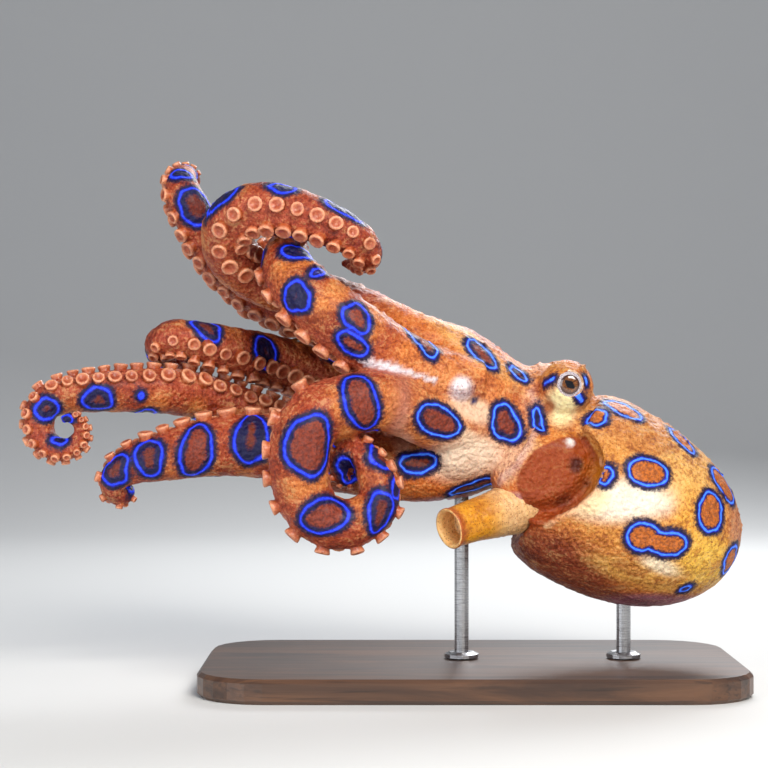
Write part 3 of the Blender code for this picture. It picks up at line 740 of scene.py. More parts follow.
def markRings(skin, spots, outward, armInfo):
    # Signed distance in millimetres to the nearest ring's line, and the colour within.
    random.seed(ringPlan["seed"])
    which, along, turn, wide, near = armInfo
    distance = np.full(len(spots), 9.0)
    inside = np.tile(insideColours["amber"], (len(spots), 1))

    def waver():
        size = ringPlan["waviness"]
        first, second = random.uniform(0.3, 1.0) * size, random.uniform(0.2, 0.8) * size
        return (first, second), [random.uniform(0, 2 * math.pi) for _ in range(3)]

    def stray(most):
        return random.uniform(-most, most)

    def lay(found, colour, where):
        closer = where & (found < distance)
        distance[closer] = found[closer]
        inside[closer] = insideColours[colour]

    for x, z, high, tall, tilt, colour in ringPlan["body"] + ringPlan["seen"]:
        centre, normal = spotAt(skin, x, z)
        size, turns = waver()
        if centre is None:
            print("ring misses the skin", x, z)
            continue
        nearest = int(((spots - centre) ** 2).sum(1).argmin())
        onBody = along[nearest] < ringPlan["bodyEnd"]
        for side in (1, -1) if onBody else (1,):
            middle = centre * (1, side, 1)
            flat = normal * (1, side, 1)
            right, upward = surfacePlaces(spots, middle, flat, tilt)
            scale = 1.0 + 0.14 * (side < 0) * math.sin(x)
            found = ellipseDistance(
                right, upward, high * pixel / 2 * scale, tall * pixel / 2 * scale, size, turns
            )
            away = np.linalg.norm(spots - middle, axis=1)
            where = (away < max(high, tall) * pixel * 0.85 + 2.0) & (outward @ flat > 0.0)
            if onBody:
                same = along < ringPlan["bodySpill"]
            else:
                same = (which == which[nearest]) | (along < ringPlan["armSpill"])
            lay(found, colour, where & same)
    for x, z, long, thick, tilt in ringPlan["bars"]:
        centre, normal = spotAt(skin, x, z)
        for side in (1, -1):
            middle, flat = centre * (1, side, 1), normal * (1, side, 1)
            right, upward = surfacePlaces(spots, middle, flat, tilt)
            aside = np.maximum(np.abs(right) - long * pixel / 2, 0.0)
            found = np.hypot(aside, upward) - thick * pixel / 2
            where = np.linalg.norm(spots - middle, axis=1) < 4.0
            bar = where & (found < distance)
            distance[bar] = np.maximum(found[bar], 0.0)
    for number, name in enumerate(arms):
        for start, degrees, long, girth, colour in ringPlan["arms"][name]:
            size, turns = waver()
            for side in (1, -1):
                shift = stray(ringPlan["farShift"][0]) if side < 0 else 0.0
                spin = degrees * side + (stray(ringPlan["farShift"][1]) if side < 0 else 0)
                spin = math.radians(spin)
                swing = (turn - spin + math.pi) % (2 * math.pi) - math.pi
                found = ellipseDistance(
                    along - start - shift, swing * wide, long * pixel / 2, girth * pixel / 2,
                    size, turns
                )
                where = (which == number) & (near < 1.7) & (np.abs(along - start) < 14.0)
                where &= np.abs(swing) < 2.2
                # A ring that would run into one that the camera sees is left out.
                margin, least = ringPlan["clear"]
                taken = distance[where & (found < margin)]
                if where.any() and taken.min(initial=9.0) > least:
                    lay(found, colour, where)
    return distance, inside


# Broad tones: picture place, half sizes in pixels, tilt, colour and strength. The same
# tones are laid on the far side. Arms get theirs by how far round they lie.
tonePlan = {
    "body": colourOf(202, 104, 34),
    "armOuter": colourOf(160, 62, 26),
    "armInner": colourOf(170, 74, 46),
    "armTip": colourOf(156, 58, 32),
    "patches": [
        (650, 490, 120, 105, 20, colourOf(208, 142, 60), 0.8),
        (455, 415, 90, 60, 30, colourOf(206, 130, 76), 0.6),
        (640, 425, 80, 32, 24, colourOf(194, 122, 58), 0.85),
        (628, 500, 62, 24, -4, colourOf(246, 234, 214), 0.95),
        (688, 470, 34, 40, 0, colourOf(232, 176, 96), 0.8),
        (592, 500, 22, 18, -30, colourOf(244, 214, 160), 0.8),
        (558, 572, 84, 44, 30, colourOf(140, 60, 32), 0.95),
        (640, 575, 60, 14, 18, colourOf(226, 170, 80), 0.7),
        (662, 566, 26, 9, 20, colourOf(246, 232, 200), 0.8),
        (706, 562, 34, 34, 0, colourOf(240, 192, 70), 0.8),
        (690, 520, 18, 40, 0, colourOf(236, 170, 60), 0.7),
        (652, 602, 64, 9, 0, colourOf(150, 92, 130), 0.75),
        (738, 520, 10, 60, 0, colourOf(198, 136, 104), 0.6),
        (735, 470, 12, 30, -30, colourOf(170, 120, 150), 0.6),
        (618, 386, 30, 8, 22, colourOf(150, 96, 140), 0.6),
        (562, 405, 18, 24, 0, colourOf(248, 236, 178), 0.95),
        (549, 407, 7, 9, 0, colourOf(170, 84, 24), 0.9),
        (556, 368, 22, 9, 0, colourOf(190, 120, 40), 0.8),
        (586, 420, 12, 18, 0, colourOf(214, 150, 80), 0.7),
        (586, 366, 12, 12, 0, colourOf(176, 104, 40), 0.8),
        (530, 400, 10, 34, 0, colourOf(222, 160, 120), 0.6),
        (470, 345, 80, 12, 38, colourOf(222, 158, 84), 0.85),
        (385, 335, 30, 26, 40, colourOf(222, 120, 34), 0.85),
        (466, 458, 44, 24, -10, colourOf(244, 222, 196), 0.85),
        (474, 410, 30, 14, 24, colourOf(236, 204, 174), 0.75),
        (530, 446, 14, 14, 0, colourOf(214, 160, 96), 0.7),
        (540, 372, 18, 12, 30, colourOf(206, 130, 60), 0.7),
        (450, 505, 90, 9, -6, colourOf(196, 160, 190), 0.8),
        (512, 462, 12, 26, 24, colourOf(226, 176, 140), 0.8),
        (398, 408, 13, 36, 6, colourOf(226, 184, 158), 0.75),
        (404, 446, 10, 16, 10, colourOf(228, 178, 150), 0.7),
        (470, 438, 20, 8, 40, colourOf(234, 206, 176), 0.7),
        # Bright left end of the white strip on the web's crease: painted highlight, partly the skin's
        # own pale tone
        (385, 368, 30, 6, 12, colourOf(232, 222, 222), 0.9),
    ],
    # The pocket under the mantle's edge: its outline in picture places, and its colours
    "pocket": [
        (521, 468), (534, 450), (560, 437), (587, 436), (601, 461), (606, 474), (596, 489),
        (576, 508), (546, 524), (518, 534), (526, 508), (515, 484),
    ],
    "pocketColour": colourOf(144, 54, 0),
    "pocketEdge": colourOf(180, 104, 10),
    "pocketGold": ((575.0, 604.0), (450.0, 470.0)),   # where the edge's colour sets in
    "pocketFade": (-1.5, 1.0),   # pixels about the outline over which the pocket's colours end
    "pocketShare": 0.97,
    "pocketCalm": 0.7,           # how much plainer the pocket is than the skin round it
    "patchFade": (0.45, 1.25),   # where a patch starts and ends its fading, in half sizes
    "paleCalm": (0.3, 0.75),     # patches lighter than the first are plainer by the second
    "armStart": (13.0, 26.0),    # millimetres along an arm over which its own tone sets in
    "innerSide": (0.7, 1.3),     # angle from the suckers over which the outer tone sets in
    # Golden bands across the outer side of the arms
    "band": colourOf(232, 146, 66),
    "bandLength": 9.0,
    "bandShare": 0.45,
}


def outlineDistance(across, down, outline):
    # Picture distance to an outline, negative inside it.
    away = np.full(len(across), 1e9)
    within = np.zeros(len(across), dtype=bool)
    for (x, z), (nextX, nextZ) in zip(outline, outline[1:] + outline[:1]):
        spanX, spanZ = nextX - x, nextZ - z
        part = np.clip(
            ((across - x) * spanX + (down - z) * spanZ) / (spanX ** 2 + spanZ ** 2), 0.0, 1.0
        )
        away = np.minimum(away, np.hypot(across - x - part * spanX, down - z - part * spanZ))
        if spanZ:
            crossing = x + (down - z) * spanX / spanZ
            within ^= ((z > down) != (nextZ > down)) & (across < crossing)
    return np.where(within, -away, away)


def markTones(spots, armInfo):
    # The skin's tone, how far each point belongs to an arm, and where the skin is plain.
    which, along, turn = armInfo[:3]
    tone = np.tile(tonePlan["body"], (len(spots), 1))
    across, down = pictureOf(foldedSpots(spots))
    calm = np.zeros(len(spots))
    palest, plainness = tonePlan["paleCalm"]
    for x, z, high, tall, tilt, colour, strength in tonePlan["patches"]:
        lean = math.radians(tilt)
        right = (across - x) * math.cos(lean) + (down - z) * math.sin(lean)
        lower = -(across - x) * math.sin(lean) + (down - z) * math.cos(lean)
        reach = np.sqrt((right / high) ** 2 + (lower / tall) ** 2)
        share = (strength * (1.0 - smoothStep(*tonePlan["patchFade"], reach)))[:, None]
        tone = mixed(tone, colour, share)
        calm = np.maximum(calm, share[:, 0] * (plainness if min(colour) > palest else 0.0))
    pocket = outlineDistance(across, down, tonePlan["pocket"])
    onBody = along < bodyPlan["pocketReach"]
    fade = 1.0 - smoothStep(*tonePlan["pocketFade"], pocket)
    share = (tonePlan["pocketShare"] * fade * onBody)[:, None]
    rightward, downward = tonePlan["pocketGold"]
    side = smoothStep(*rightward, across)[:, None] * smoothStep(*downward, down)[:, None]
    colour = mixed(np.array(tonePlan["pocketColour"]), tonePlan["pocketEdge"], side)
    tone = mixed(tone, colour, share)
    calm = np.maximum(calm * (1.0 - share[:, 0]), tonePlan["pocketCalm"] * share[:, 0])
    lengths = np.array([arm.length for arm in arms.values()])[which]
    onArm = smoothStep(*tonePlan["armStart"], along)[:, None]
    under = (1.0 - smoothStep(*tonePlan["innerSide"], np.abs(turn)))[:, None]
    armTone = mixed(np.array(tonePlan["armOuter"]), tonePlan["armInner"], under)
    band = 0.5 + 0.5 * np.sin(2 * math.pi * along / tonePlan["bandLength"] + which * 1.7)
    outer = smoothStep(0.8, 1.9, np.abs(turn))
    band = (tonePlan["bandShare"] * smoothStep(0.2, 0.9, band) * outer)[:, None]
    armTone = mixed(armTone, tonePlan["band"], band)
    late = smoothStep(0.6, 1.0, along / lengths)[:, None]
    armTone = mixed(armTone, tonePlan["armTip"], late)
    return mixed(tone, armTone, onArm), onArm[:, 0], calm


# Suckers: a cup, and a plainer one for the small ones, copied along both rows of each arm
suckerPlan = {
    "start": 15.0,       # millimetres along the arm where the rows begin
    "end": 0.975,        # share of the arm's length where they stop
    "spread": 27.0,      # degrees each row lies from the arm's middle
    "size": (0.30, 0.27),    # radius of a cup: a fixed part and a share of the arm's radius
    "pitch": (0.35, 0.66),
    "height": 0.36,
    "foot": 0.08,        # how far the skin rises round a cup's foot, in radii of the arm
    "smallest": 1.25,    # radius below which the plainer cup is used
    "stalkColour": colourOf(170, 78, 38),
    "rimColour": colourOf(214, 146, 110),
    "bowlColour": colourOf(168, 80, 50),
    "seed": 3,
    # Ring radius and height of the cup, in cup radii, from the stalk to the bowl's middle
    "profile": [
        (1.35, -0.95), (0.83, -0.12), (0.97, 0.27), (0.98, 0.5), (0.78, 0.59), (0.5, 0.44),
        (0.18, 0.3),
    ],
    "smallProfile": [
        (1.3, -0.9), (0.96, -0.15), (1.0, 0.3), (0.84, 0.58), (0.5, 0.42), (0.2, 0.2),
    ],
}


def suckerPlaces(arm):
    # Along each of an arm's two rows: middle, outward direction, heading, size, arm radius.
    found = []
    for row, side in enumerate((-1, 1)):
        travelled = arm.plan.get("suckersFrom", suckerPlan["start"])
        if row:
            radius = arm.at(travelled)[3]
            travelled += 0.5 * (suckerPlan["pitch"][0] + suckerPlan["pitch"][1] * radius)
        while travelled < arm.length * suckerPlan["end"]:
            centre, heading, faces, radius = arm.at(travelled)
            spread = math.radians(suckerPlan["spread"] + random.uniform(-3.0, 3.0))
            out = faces * math.cos(spread) + heading.cross(faces) * math.sin(spread) * side
            fixed, share = suckerPlan["size"]
            size = (fixed + share * radius) * random.uniform(0.92, 1.08)
            found.append((centre, out, heading, faces, size, radius))
            travelled += suckerPlan["pitch"][0] + suckerPlan["pitch"][1] * radius
    return found


random.seed(suckerPlan["seed"])
suckerSpots = {name: suckerPlaces(arm) for name, arm in arms.items()}


# Relief on the skin: folds follow lines of picture places, bumps stand at one place.
# Each has its height and width in millimetres, and the colour and strength it takes.
# Pale colour of the web's crease and the blob beside it: partly the skin's own pale tone, partly a
# painted highlight on these raised folds
paleFoldAndHighlight = colourOf(226, 216, 222)
pinkFold = colourOf(214, 172, 160)
reliefPlan = {
    "folds": [
        # The white strip where two arms' webs meet: a raised fold whose near white colour is partly
        # its own tone and partly a painted highlight
        ([(360, 358), (372, 363), (386, 367), (396, 369)], 0.75, 0.85, paleFoldAndHighlight, 1.0),
        ([(392, 368), (406, 372), (420, 376), (436, 381)], 0.5, 0.42, paleFoldAndHighlight, 0.95),
        ([(531, 392), (537, 408), (538, 426), (530, 446), (517, 466), (500, 482), (480, 494)],
         0.6, 0.7, pinkFold, 0.6),
        ([(601, 461), (606, 474), (597, 489), (577, 509), (547, 525), (519, 535)],
         0.35, 0.5, colourOf(232, 176, 132), 0.8),
        ([(392, 504), (420, 509), (450, 508), (480, 502), (500, 494)], 0.3, 0.8, pinkFold, 0.5),
    ],
    "bumps": [
        # A raised blob coloured near white: partly its own tone, partly a painted highlight
        (461, 389, 1.5, 2.2, paleFoldAndHighlight, 1.0),
        # A small white dot on a slight rise at the pocket's top: a painted highlight
        (570, 442.5, 0.7, 0.85, colourOf(240, 230, 224), 1.0),
        (583, 367, 0.8, 0.55, colourOf(200, 150, 96), 0.6),
        (577, 465, -0.2, 1.5, colourOf(66, 12, 2), 0.9),
        (586, 482, 0.0, 1.2, colourOf(96, 30, 4), 0.6),
        (563, 500, 0.0, 1.6, colourOf(84, 22, 4), 0.6),
        (474, 400, 0.0, 0.75, colourOf(14, 10, 80), 1.0),
    ],
    # Small warts strewn over the back
    "warts": 800,
    "wartHeight": (0.12, 0.46),
    "wartWidth": (0.35, 0.7),
    "wartReach": 45.0,         # millimetres along the arms where the warts end
    "clearOf": (5.0, 10.0),    # how far they keep from an eye and from the pocket
    "seed": 21,
    # The overall unevenness: size in metres and height in millimetres
    "grain": (0.0017, 0.34),
    "fineGrain": (0.0011, 0.24),
    "soften": (0.5, 3),        # how strongly and how often the skin is smoothed first
    "socket": (1.6, 1.7, 2.75),    # the eye's hollow: depth, and where its wall starts and ends
    "eyeRing": (0.42, 3.05, 0.55),   # the swelling round the eye: height, place and width
    # Creases across the outer side of the arms: height, and spacing along the arm
    "creases": (0.16, 4.6),
}


def roughen(thing, name, kind, size, height):
    texture = bpy.data.textures.new(name, kind)
    texture.noise_scale = size
    push = thing.modifiers.new(name, "DISPLACE")
    push.texture = texture
    push.texture_coords = "LOCAL"
    push.strength = height * mm
    push.mid_level = 0.5


def addRelief(skin, spots, outward, armInfo):
    # Pushes the skin out along its folds and bumps, and says which colour they take.
    extra = np.zeros(len(spots))
    tints = []

    def raiseAt(away, height, width, colour, strength):
        rise = np.exp(-((away / width) ** 2))
        extra[:] = np.maximum(extra, height * rise) if height > 0 else extra + height * rise
        tints.append((1.0 - smoothStep(0.7, 1.5, away / width), colour, strength))

    for line, height, width, colour, strength in reliefPlan["folds"]:
        found = [spotAt(skin, x, z)[0] for x, z in line]
        found = [spot for spot in found if spot is not None]
        for side in (1, -1):
            away = np.full(len(spots), 99.0)
            for first, second in zip(found, found[1:]):
                start, stop = first * (1, side, 1), second * (1, side, 1)
                along = stop - start
                part = np.clip((spots - start) @ along / (along @ along), 0.0, 1.0)
                gap = spots - start - part[:, None] * along
                away = np.minimum(away, np.linalg.norm(gap, axis=1))
            wobble = 1.0 + 0.35 * np.sin(spots[:, 0] * 3.1) * np.cos(spots[:, 2] * 2.7)
            raiseAt(away * wobble, height, width, colour, strength)
    for x, z, height, width, colour, strength in reliefPlan["bumps"]:
        centre, _ = spotAt(skin, x, z)
        if centre is not None:
            for side in (1, -1):
                away = np.linalg.norm(spots - centre * (1, side, 1), axis=1)
                raiseAt(away, height, width, colour, strength)
    random.seed(reliefPlan["seed"])
    eyes = np.array(bodyPlan["eye"])
    collar = np.array(bodyPlan["gape"][0])
    which, travelled, turn = armInfo[:3]
    upper = np.flatnonzero((outward[:, 2] > -0.1) & (travelled < reliefPlan["wartReach"]))
    fromEye, fromPocket = reliefPlan["clearOf"]
    for _ in range(reliefPlan["warts"]):
        centre = spots[upper[random.randrange(len(upper))]]
        mirrored = centre * (1, -math.copysign(1.0, centre[1] or 1.0), 1)
        if np.linalg.norm(mirrored - eyes) < fromEye:
            continue
        if np.linalg.norm(mirrored - collar) < fromPocket:
            continue
        height = random.uniform(*reliefPlan["wartHeight"])
        width = random.uniform(*reliefPlan["wartWidth"])
        close = np.flatnonzero(np.abs(spots - centre).max(1) < 2.0)
        away = np.linalg.norm(spots[close] - centre, axis=1)
        extra[close] = np.maximum(extra[close], height * np.exp(-((away / width) ** 2)))
    height, spacing = reliefPlan["creases"]
    phase = 2 * math.pi * travelled / spacing + 1.3 * np.sin(2 * turn) + which
    outer = smoothStep(0.9, 1.7, np.abs(turn)) * smoothStep(20.0, 32.0, travelled)
    extra += height * (np.abs(np.sin(phase / 2)) - 0.6) * outer
    for number, places in enumerate(suckerSpots.values()):
        own = np.flatnonzero(which == number)
        for centre, out, _, _, size, radius in places:
            foot = np.array(centre + out * radius)
            close = own[np.abs(spots[own] - foot).max(1) < size * 2.4]
            away = np.linalg.norm(spots[close] - foot, axis=1)
            rise = suckerPlan["foot"] * radius * np.exp(-((away / (size * 1.1)) ** 2))
            extra[close] = np.maximum(extra[close], rise)
    return spots + outward * extra[:, None], tints


def refineMarks(skin):
    # Smaller faces along ring lines and the pocket's outline, so that these come out round.
    mesh = skin.data
    spots = points(skin) / mm
    armInfo = armPlaces(spots)
    ring, _ = markRings(skin, spots, normals(skin), armInfo)
    pocket = outlineDistance(*pictureOf(foldedSpots(spots)), tonePlan["pocket"]) * pixel
    pocket = np.where(armInfo[1] < bodyPlan["pocketReach"], pocket, 9.0)
    corners = np.empty(len(mesh.loops), dtype=np.int32)
    mesh.loops.foreach_get("vertex_index", corners)
    starts = np.empty(len(mesh.polygons), dtype=np.int32)
    mesh.polygons.foreach_get("loop_start", starts)
    chosen = np.zeros(len(starts), dtype=bool)
    for distance, band in ((ring, ringPlan["fineBand"]), (pocket, 0.0)):
        low = np.minimum.reduceat(distance[corners], starts)
        high = np.maximum.reduceat(distance[corners], starts)
        chosen |= (low < band) & (high > -band)
    pick(skin)
    bpy.ops.object.mode_set(mode="EDIT")
    bpy.ops.mesh.select_mode(type="FACE")
    bpy.ops.mesh.select_all(action="DESELECT")
    bpy.ops.object.mode_set(mode="OBJECT")
    mesh.polygons.foreach_set("select", chosen)
    bpy.ops.object.mode_set(mode="EDIT")
    bpy.ops.mesh.subdivide(number_cuts=1)
    bpy.ops.mesh.select_all(action="DESELECT")
    bpy.ops.mesh.select_mode(type="VERT")
    bpy.ops.object.mode_set(mode="OBJECT")


def finishSkin(skin):
    # Smoothing, relief, eye sockets and pocket, then the marks that the material reads.
    softener = skin.modifiers.new("soften", "SMOOTH")
    softener.factor, softener.iterations = reliefPlan["soften"]
    roughen(skin, "grain", "CLOUDS", *reliefPlan["grain"])
    roughen(skin, "fineGrain", "VORONOI", *reliefPlan["fineGrain"])
    applyAll(skin)
    spots = points(skin) / mm
    outward = normals(skin)
    armInfo = armPlaces(spots)
    spots, tints = addRelief(skin, spots, outward, armInfo)
    depth, wallStart, wallEnd = reliefPlan["socket"]
    height, place, width = reliefPlan["eyeRing"]
    for side in (1, -1):
        eye = np.array(bodyPlan["eye"]) * (1, side, 1)
        aside = np.hypot(spots[:, 0] - eye[0], spots[:, 2] - eye[2])
        facing = spots[:, 1] * side < -10.0
        sink = depth * (1.0 - smoothStep(wallStart, wallEnd, aside)) * facing
        rise = height * np.exp(-((aside - place) / width) ** 2) * facing
        spots[:, 1] += side * sink - side * rise
    pocket = outlineDistance(*pictureOf(foldedSpots(spots)), tonePlan["pocket"])
    proud = np.maximum(np.abs(spots[:, 1]) - bodyPlan["pocketDepth"], 0.0)
    share = (1.0 - smoothStep(-5.0, 0.5, pocket)) * (armInfo[1] < bodyPlan["pocketReach"])
    spots[:, 1] -= np.sign(spots[:, 1]) * proud * bodyPlan["pocketFlat"] * share
    setPoints(skin, spots * mm)
    kept, added = np.ones((len(spots), 1)), np.zeros((len(spots), 3))
    for share, colour, strength in tints:
        share = (share * strength)[:, None]
        kept *= 1.0 - share
        added = mixed(added, colour, share)
    setFloats(skin, "kept", kept.ravel())
    setColours(skin, "added", added)
    refineMarks(skin)
    skin.data.calc_loop_triangles()
    print("skin triangles", len(skin.data.loop_triangles))
    kept = takeLayer(skin, "kept", "value", 1)
    added = takeLayer(skin, "added", "color", 4)[:, :3]
    spots, outward = points(skin) / mm, normals(skin)
    armInfo = armPlaces(spots)
    distance, inside = markRings(skin, spots, outward, armInfo)
    tone, armShare, calm = markTones(spots, armInfo)
    for name, values in (("ring", distance), ("armShare", armShare), ("calm", calm)):
        setFloats(skin, name, values)
    setColours(skin, "inside", inside)
    setColours(skin, "tone", tone * kept + added)
    pick(skin)
    bpy.ops.object.shade_smooth()


finishSkin(skin)


# Materials
def makeNode(tree, kind, inputs=None, **settings):
    made = tree.nodes.new(kind)
    for name, value in settings.items():
        setattr(made, name, value)
    for key, value in (inputs or {}).items():
        if isinstance(value, bpy.types.NodeSocket):
            tree.links.new(value, made.inputs[key])
        else:
            made.inputs[key].default_value = value
    return made


def math2(tree, operation, first, second=0.0, third=0.0):
    return makeNode(
        tree, "ShaderNodeMath", {0: first, 1: second, 2: third}, operation=operation
    ).outputs[0]


def objectSpots(tree):
    return makeNode(tree, "ShaderNodeTexCoord").outputs["Object"]


def stretched(tree, vector, scale, turn=(0.0, 0.0, 0.0)):
    return makeNode(
        tree, "ShaderNodeMapping", {"Vector": vector, "Rotation": turn, "Scale": scale}
    ).outputs[0]


def noise(tree, vector, scale, detail, roughness=0.5, distortion=0.0):
    return makeNode(tree, "ShaderNodeTexNoise", {
        "Vector": vector, "Scale": scale, "Detail": detail, "Roughness": roughness,
        "Distortion": distortion
    }).outputs["Fac"]


def ramp(tree, value, low, high, start=0.0, end=1.0):
    # A smooth step from start to end while the value goes from low to high.
    return makeNode(
        tree, "ShaderNodeMapRange",
        {"Value": value, "From Min": low, "From Max": high, "To Min": start, "To Max": end},
        interpolation_type="SMOOTHSTEP"
    ).outputs["Result"]


def blendColour(tree, share, first, second, way="MIX"):
    made = makeNode(tree, "ShaderNodeMix", data_type="RGBA", blend_type=way)
    for place, value in ((0, share), (6, first), (7, second)):
        if isinstance(value, bpy.types.NodeSocket):
            tree.links.new(value, made.inputs[place])
        elif place == 0:
            made.inputs[place].default_value = value
        else:
            made.inputs[place].default_value = (*value[:3], 1.0)
    return made.outputs[2]


def startGroup(name, inputs, outputs):
    group = bpy.data.node_groups.new(name, "ShaderNodeTree")
    for label, kind, value in inputs:
        socket = group.interface.new_socket(label, in_out="INPUT", socket_type=kind)
        if value is not None:
            socket.default_value = value
    for label, kind in outputs:
        group.interface.new_socket(label, in_out="OUTPUT", socket_type=kind)
    return group, group.nodes.new("NodeGroupInput"), group.nodes.new("NodeGroupOutput")


def buildFleshGroup():
    # Mottled octopus flesh: cloudy patches, fine pigment specks, and granules for bump.
    group, given, put = startGroup("fleshDetail", [
        ("Tone", "NodeSocketColor", (0.5, 0.2, 0.1, 1.0)),
        ("Light patches", "NodeSocketColor", (0.8, 0.5, 0.2, 1.0)),
        ("Dark patches", "NodeSocketColor", (0.2, 0.05, 0.03, 1.0)),
        ("Specks", "NodeSocketColor", (0.1, 0.02, 0.01, 1.0)),
        ("Patch amount", "NodeSocketFloat", 0.6),
        ("Speck amount", "NodeSocketFloat", 0.6),
    ], [("Colour", "NodeSocketColor"), ("Height", "NodeSocketFloat")])
    tone, lights, darks, specks, patchAmount, speckAmount = given.outputs[:6]
    where = objectSpots(group)
    # The clouds are drawn out along the body, from the arms down to the mantle's end.
    drawn = stretched(group, where, (0.5, 1.0, 1.0), (0.0, math.radians(-30.0), 0.0))
    cloud = noise(group, drawn, 330.0, 6.0, 0.68, 0.6)
    grain = noise(group, where, 1500.0, 4.0, 0.7)
    broad = noise(group, drawn, 150.0, 7.0, 0.72, 0.5)
    broadMask = math2(group, "MULTIPLY", ramp(group, broad, 0.5, 0.62), patchAmount)
    pattern = math2(group, "MULTIPLY_ADD", grain, 0.55, math2(group, "MULTIPLY", cloud, 0.45))
    lightMask = math2(group, "MULTIPLY", ramp(group, pattern, 0.5, 0.6), patchAmount)
    darkMask = math2(group, "MULTIPLY", ramp(group, pattern, 0.51, 0.4), patchAmount)
    shaded = blendColour(group, broadMask, tone, (0.6, 0.42, 0.38), "MULTIPLY")
    colour = blendColour(group, lightMask, shaded, lights, "SCREEN")
    colour = blendColour(group, darkMask, colour, darks, "MULTIPLY")
    cells = makeNode(group, "ShaderNodeTexVoronoi", {
        "Vector": where, "Scale": 2300.0, "Randomness": 1.0
    })
    dots = ramp(group, cells.outputs["Distance"], 0.36, 0.2)
    strong = makeNode(group, "ShaderNodeSeparateColor", {0: cells.outputs["Color"]}).outputs[0]
    dots = math2(group, "MULTIPLY", dots, ramp(group, strong, 0.25, 0.75))
    dots = math2(group, "MULTIPLY", dots, speckAmount)
    colour = blendColour(group, dots, colour, specks, "MULTIPLY")
    warts = makeNode(group, "ShaderNodeTexVoronoi", {
        "Vector": where, "Scale": 1050.0, "Smoothness": 0.6
    }, feature="SMOOTH_F1").outputs["Distance"]
    folds = noise(group, where, 620.0, 5.0, 0.6, 0.8)
    height = math2(group, "MULTIPLY_ADD", warts, -0.7, folds)
    height = math2(group, "MULTIPLY_ADD", grain, 0.5, height)
    group.links.new(colour, put.inputs["Colour"])
    group.links.new(height, put.inputs["Height"])
    return group


# How a ring is drawn: distances from its line in millimetres, and colours as light
ringLook = {
    "wander": 0.9,         # how far the line strays from its even curve
    "fray": (2.4, 1.6),    # how ragged the dark surround's outer and inner edges are
    "dark": (1.8, 0.8),    # where the surround fades out and where it is full
    "inset": (-0.45, -1.7),   # where the inside's colour starts, and what the dark reach adds
    "blueEdge": (0.56, 0.24),
    "blueCore": (0.31, 0.05),
    "nearDark": (0.003, 0.003, 0.05),
    "farDark": (0.018, 0.006, 0.03),
    "fleck": (0.03, 0.008, 0.012),
    "deepBlue": (0.006, 0.008, 0.34),
    "bodyBlue": (0.05, 0.22, 1.0),
    "armBlue": (0.012, 0.05, 0.85),
    # Strength of the painted glow: the blue line gives out light as emission, though the rings make
    # none
    "paintedGlow": 0.35,
}


def buildRingGroup():
    # A blue line with a dark surround whose outer edge frays, over the flesh colour, and a painted
    # glow of the same blue, given out as emission.
    group, given, put = startGroup("ringMarks", [
        ("Flesh", "NodeSocketColor", (0.5, 0.2, 0.1, 1.0)),
        ("Inside", "NodeSocketColor", (0.5, 0.2, 0.1, 1.0)),
        ("Dark reach", "NodeSocketFloat", 0.0),
        ("Distance", "NodeSocketFloat", 5.0),
        ("Arm share", "NodeSocketFloat", 0.0),
    ], [("Colour", "NodeSocketColor"), ("Painted glow", "NodeSocketColor")])
    flesh, inside, reach, distance, armShare = given.outputs[:5]
    where = objectSpots(group)
    fray = noise(group, where, 1700.0, 4.0, 0.75)
    waver = noise(group, where, 480.0, 2.0)
    look = ringLook
    straying = math2(group, "SUBTRACT", waver, 0.5)
    line = math2(group, "MULTIPLY_ADD", straying, look["wander"], distance)
    centred = math2(group, "SUBTRACT", fray, 0.5)
    frayed = math2(group, "MULTIPLY_ADD", centred, look["fray"][0], line)
    dark = ramp(group, frayed, *look["dark"])
    deep = math2(group, "MULTIPLY_ADD", reach, look["inset"][1], look["inset"][0])
    ragged = math2(group, "MULTIPLY_ADD", centred, look["fray"][1], line)
    within = math2(group, "SUBTRACT", deep, ragged)
    within = ramp(group, within, 0.0, math2(group, "MULTIPLY_ADD", reach, 0.9, 0.5))
    flecks = ramp(group, fray, 0.42, 0.6, 0.0, 0.55)
    mottled = blendColour(group, flecks, inside, look["fleck"])
    surround = blendColour(group, ramp(group, line, 0.3, 1.2), look["nearDark"], look["farDark"])
    colour = blendColour(group, dark, flesh, surround)
    colour = blendColour(group, within, colour, mottled)
    size = math2(group, "ABSOLUTE", line)
    broad = ramp(group, size, *look["blueEdge"])
    narrow = ramp(group, size, *look["blueCore"])
    bright = blendColour(group, armShare, look["bodyBlue"], look["armBlue"])
    blue = blendColour(group, narrow, look["deepBlue"], bright)
    colour = blendColour(group, broad, colour, blue)
    # Painted glow: the blue line's colour again, for the emission
    paintedGlow = blendColour(group, broad, (0.0, 0.0, 0.0), blue)
    group.links.new(colour, put.inputs["Colour"])
    group.links.new(paintedGlow, put.inputs["Painted glow"])
    return group


fleshGroup = buildFleshGroup()
ringGroup = buildRingGroup()


def startMaterial(name, **values):
    material = bpy.data.materials.new(name)
    material.use_nodes = True
    tree = material.node_tree
    shader = tree.nodes["Principled BSDF"]
    for key, value in values.items():
        shader.inputs[key.replace("_", " ")].default_value = value
    return material, tree, shader


def addBump(tree, shader, height, distance):
    bump = makeNode(tree, "ShaderNodeBump", {"Height": height, "Distance": distance})
    tree.links.new(bump.outputs["Normal"], shader.inputs["Normal"])


